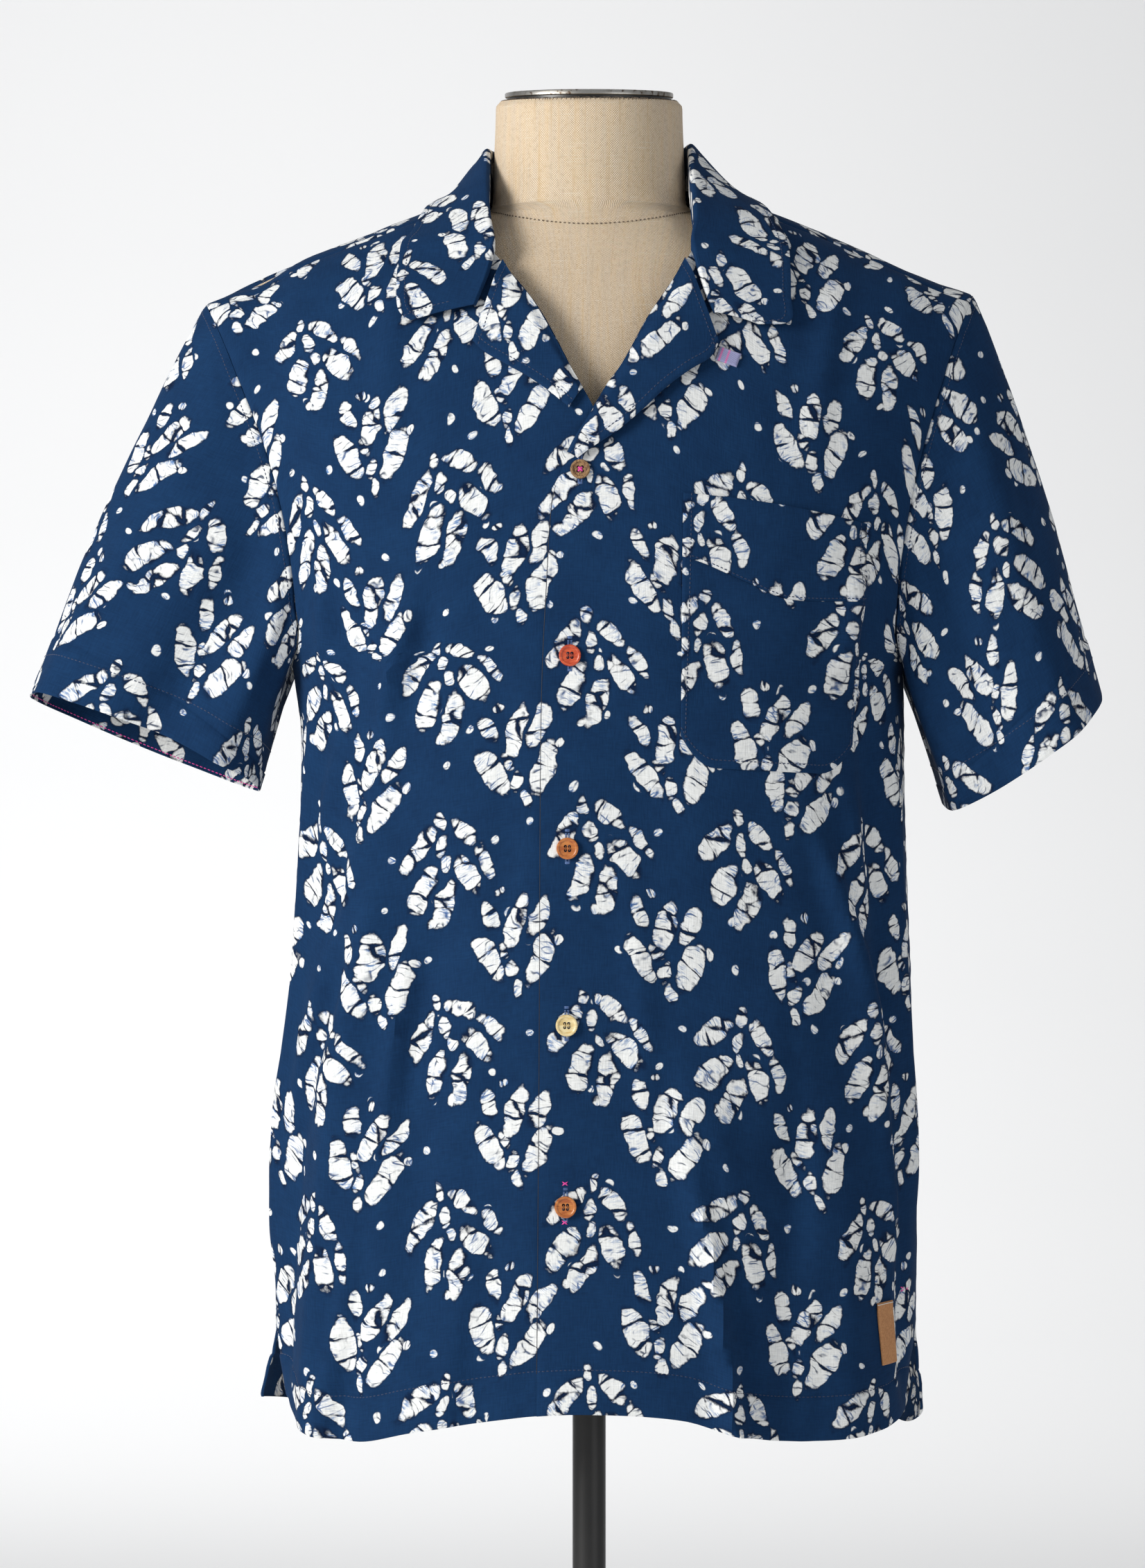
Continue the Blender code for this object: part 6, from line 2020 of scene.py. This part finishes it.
class SHIRT_OT_trims(ShirtPiece, bpy.types.Operator):
    """Makes the leather tab, the ribbon loop and the pink bar tacks"""

    bl_idname = "shirt.trims"
    bl_label = "Tab, loop and tacks"

    def execute(self, context):
        lift = CLOTH + LAY_GAP
        outer, out = strip(
            "leather_tab_cut", TAB_CENTRE, TAB_SIZE, TAB_LEAN, TAB_THICK, lift, "tan_leather", "leather",
            ["leather_tab"],
        )
        strip(
            "ribbon_loop_woven", LOOP_CENTRE, LOOP_SIZE, LOOP_LEAN, LOOP_THICK, lift, "woven_ribbon",
            "ribbon", ["ribbon_loop"],
        )
        runs = [(*from_bottom(outer, out, 1.2, top=True), 0.8, 1.6, 0.5, 0.1)]
        stitching("tab_stitches", runs, "white_cotton", "leather")
        # A near-black strand beside the lapping front's edge is a painted shadow line: it stands for the
        # shade in the fold of that stitched edge.
        height = np.linspace(-360, 172, 120)
        beside = read(LAPPING_EDGE, "height", "x", height) - 0.3
        path, _ = front_point(beside, height, CLOTH + 0.2, lapping=False)
        strands("front_edge_line", [path.tolist()], 0.55, "edge_thread")
        pink = []
        for x, height in TACKS:
            for lean in (-1, 1):
                ends = np.array([-1.8, 1.8])
                path, out = front_point(x + ends, height + 0.7 * lean * ends, CLOTH + 0 * ends)
                pink.append((path, out, 4.3, 4.2, 0.75, 0.35))
        for name in ("sleeve_right", "sleeve_left"):
            outer, out = (closed(grid) for grid in GRIDS[name])
            for distance in (2.0, CUFF_DEPTH - 1.0):
                path, normals = from_bottom(outer, out, distance, top=True)
                pink.append((path - normals * SLEEVE_WALL, -normals, 2.6, 2.1, 0.6, 0.1))
        stitching("pink_stitches", pink, "pink_thread")
        return {"FINISHED"}


class SHIRT_OT_form(ShirtPiece, bpy.types.Operator):
    """Makes the linen-covered torso with its neck seam"""

    bl_idname = "shirt.form"
    bl_label = "Dress form"

    def execute(self, context):
        form_cloth()
        form_seam()
        return {"FINISHED"}


class SHIRT_OT_stand(ShirtPiece, bpy.types.Operator):
    """Makes the steel disc on the neck, the pole and the base"""

    bl_idname = "shirt.stand"
    bl_label = "Disc, pole and base"

    def execute(self, context):
        cap_and_stand()
        return {"FINISHED"}


# The stage, in metres.
PAPER_REACH, PAPER_TOP = 12.0, 9.0
BEND_FROM, BEND_RADIUS = 5.5, 5.0  # where the paper starts to rise, and its bend
CAMERA_AT = (-0.010, -3.0, 1.130)
FOCAL_PIXELS, FRAME_PIXELS, SENSOR = 7200, 2263, 36.0  # the photo's focal length and height, and the film's


class SHIRT_OT_studio(ShirtPiece, bpy.types.Operator):
    """Sets up the floor, the soft light and the camera"""

    bl_idname = "shirt.studio"
    bl_label = "Studio"

    def execute(self, context):
        scene = context.scene
        floor = bpy.data.meshes.new("studio_floor")
        # The paper rises far behind, so that a camera on any side stands in front of it.
        profile = [(-PAPER_REACH, 0.0), (BEND_FROM, 0.0)]
        for angle in range(10, 91, 10):
            across, up = BEND_RADIUS * sin(radians(angle)), BEND_RADIUS * cos(radians(angle))
            profile.append((BEND_FROM + across, BEND_RADIUS - up))
        profile.append((BEND_FROM + BEND_RADIUS, PAPER_TOP))
        verts = [(x, y, z - 0.0005) for y, z in profile for x in (-PAPER_REACH, PAPER_REACH)]
        faces = [(2 * k, 2 * k + 1, 2 * k + 3, 2 * k + 2) for k in range(len(profile) - 1)]
        floor.from_pydata(verts, [], faces)
        floor.shade_smooth()
        paper, _, _ = start(
            "backdrop_paper", Roughness=0.95, Base_Color=linear("#F4F4F4"), Specular_IOR_Level=0.1
        )
        floor.materials.append(paper)
        sweep = bpy.data.objects.new("studio_floor", floor)
        scene.collection.objects.link(sweep)

        def light(name, place, target, size, watts, colour):
            lamp = bpy.data.lights.new(name, "AREA")
            lamp.shape, lamp.size, lamp.size_y = "RECTANGLE", size[0], size[1]
            lamp.energy, lamp.color = watts, linear(colour)[:3]
            obj = bpy.data.objects.new(name, lamp)
            obj.location = place
            obj.rotation_euler = (Vector(target) - Vector(place)).to_track_quat("-Z", "Y").to_euler()
            obj.visible_camera = False
            scene.collection.objects.link(obj)

        light("key_light", (-2.6, -1.85, 2.0), (0, 0, 1.12), (1.3, 1.5), 98, "#FFFDFA")
        light("fill_light", (2.2, -2.6, 1.4), (0, 0, 1.1), (2.2, 2.2), 15, "#FBFAFA")
        light("backdrop_light", (-1.3, 4.4, 4.2), (-0.1, 10.0, 1.7), (3.0, 1.5), 212, "#FFFFFF")
        world = bpy.data.worlds.new("studio_air")
        world.use_nodes = True
        air = world.node_tree.nodes["Background"]
        air.inputs["Color"].default_value = linear("#F2F4F7")
        air.inputs["Strength"].default_value = 0.34
        scene.world = world
        scene.view_settings.view_transform = "Standard"
        cam = bpy.data.cameras.new("camera")
        cam.sensor_fit, cam.sensor_height, cam.sensor_width = "VERTICAL", SENSOR, SENSOR
        cam.lens = FOCAL_PIXELS / FRAME_PIXELS * SENSOR
        cam.clip_start, cam.clip_end = 0.1, 50.0
        seen = bpy.data.objects.new("camera", cam)
        seen.location = CAMERA_AT
        seen.rotation_euler = Euler((radians(90), 0, 0))
        scene.collection.objects.link(seen)
        scene.camera = seen
        return {"FINISHED"}


STEPS = [
    SHIRT_OT_fronts,
    SHIRT_OT_back,
    SHIRT_OT_sleeves,
    SHIRT_OT_collar,
    SHIRT_OT_pocket,
    SHIRT_OT_stitching,
    SHIRT_OT_buttons,
    SHIRT_OT_trims,
    SHIRT_OT_form,
    SHIRT_OT_stand,
    SHIRT_OT_studio,
]


class SHIRT_PT_panel(bpy.types.Panel):
    """Lists the shirt's settings and pieces in the 3D view's sidebar"""

    bl_idname = "SHIRT_PT_panel"
    bl_label = "Camp-collar shirt"
    bl_space_type = "VIEW_3D"
    bl_region_type = "UI"
    bl_category = "Shirt"

    def draw(self, context):
        for group in (context.scene.shirt_sizes, context.scene.shirt_colours, context.scene.form_colours):
            column = self.layout.column(align=True)
            for name in group.__annotations__:
                column.prop(group, name)
        column = self.layout.column(align=True)
        for step in STEPS:
            column.operator(step.bl_idname)


GROUPS = {"shirt_sizes": ShirtSizes, "shirt_colours": ShirtColours, "form_colours": FormColours}


def register():
    for cls in [*GROUPS.values(), *STEPS, SHIRT_PT_panel]:
        bpy.utils.register_class(cls)
    for name, group in GROUPS.items():
        setattr(bpy.types.Scene, name, bpy.props.PointerProperty(type=group))


def unregister():
    for name in GROUPS:
        delattr(bpy.types.Scene, name)
    for cls in [SHIRT_PT_panel, *reversed(STEPS), *GROUPS.values()]:
        bpy.utils.unregister_class(cls)


def main():
    register()
    for step in STEPS:
        group, name = step.bl_idname.split(".")
        getattr(getattr(bpy.ops, group), name)()


if __name__ == "__main__":
    main()
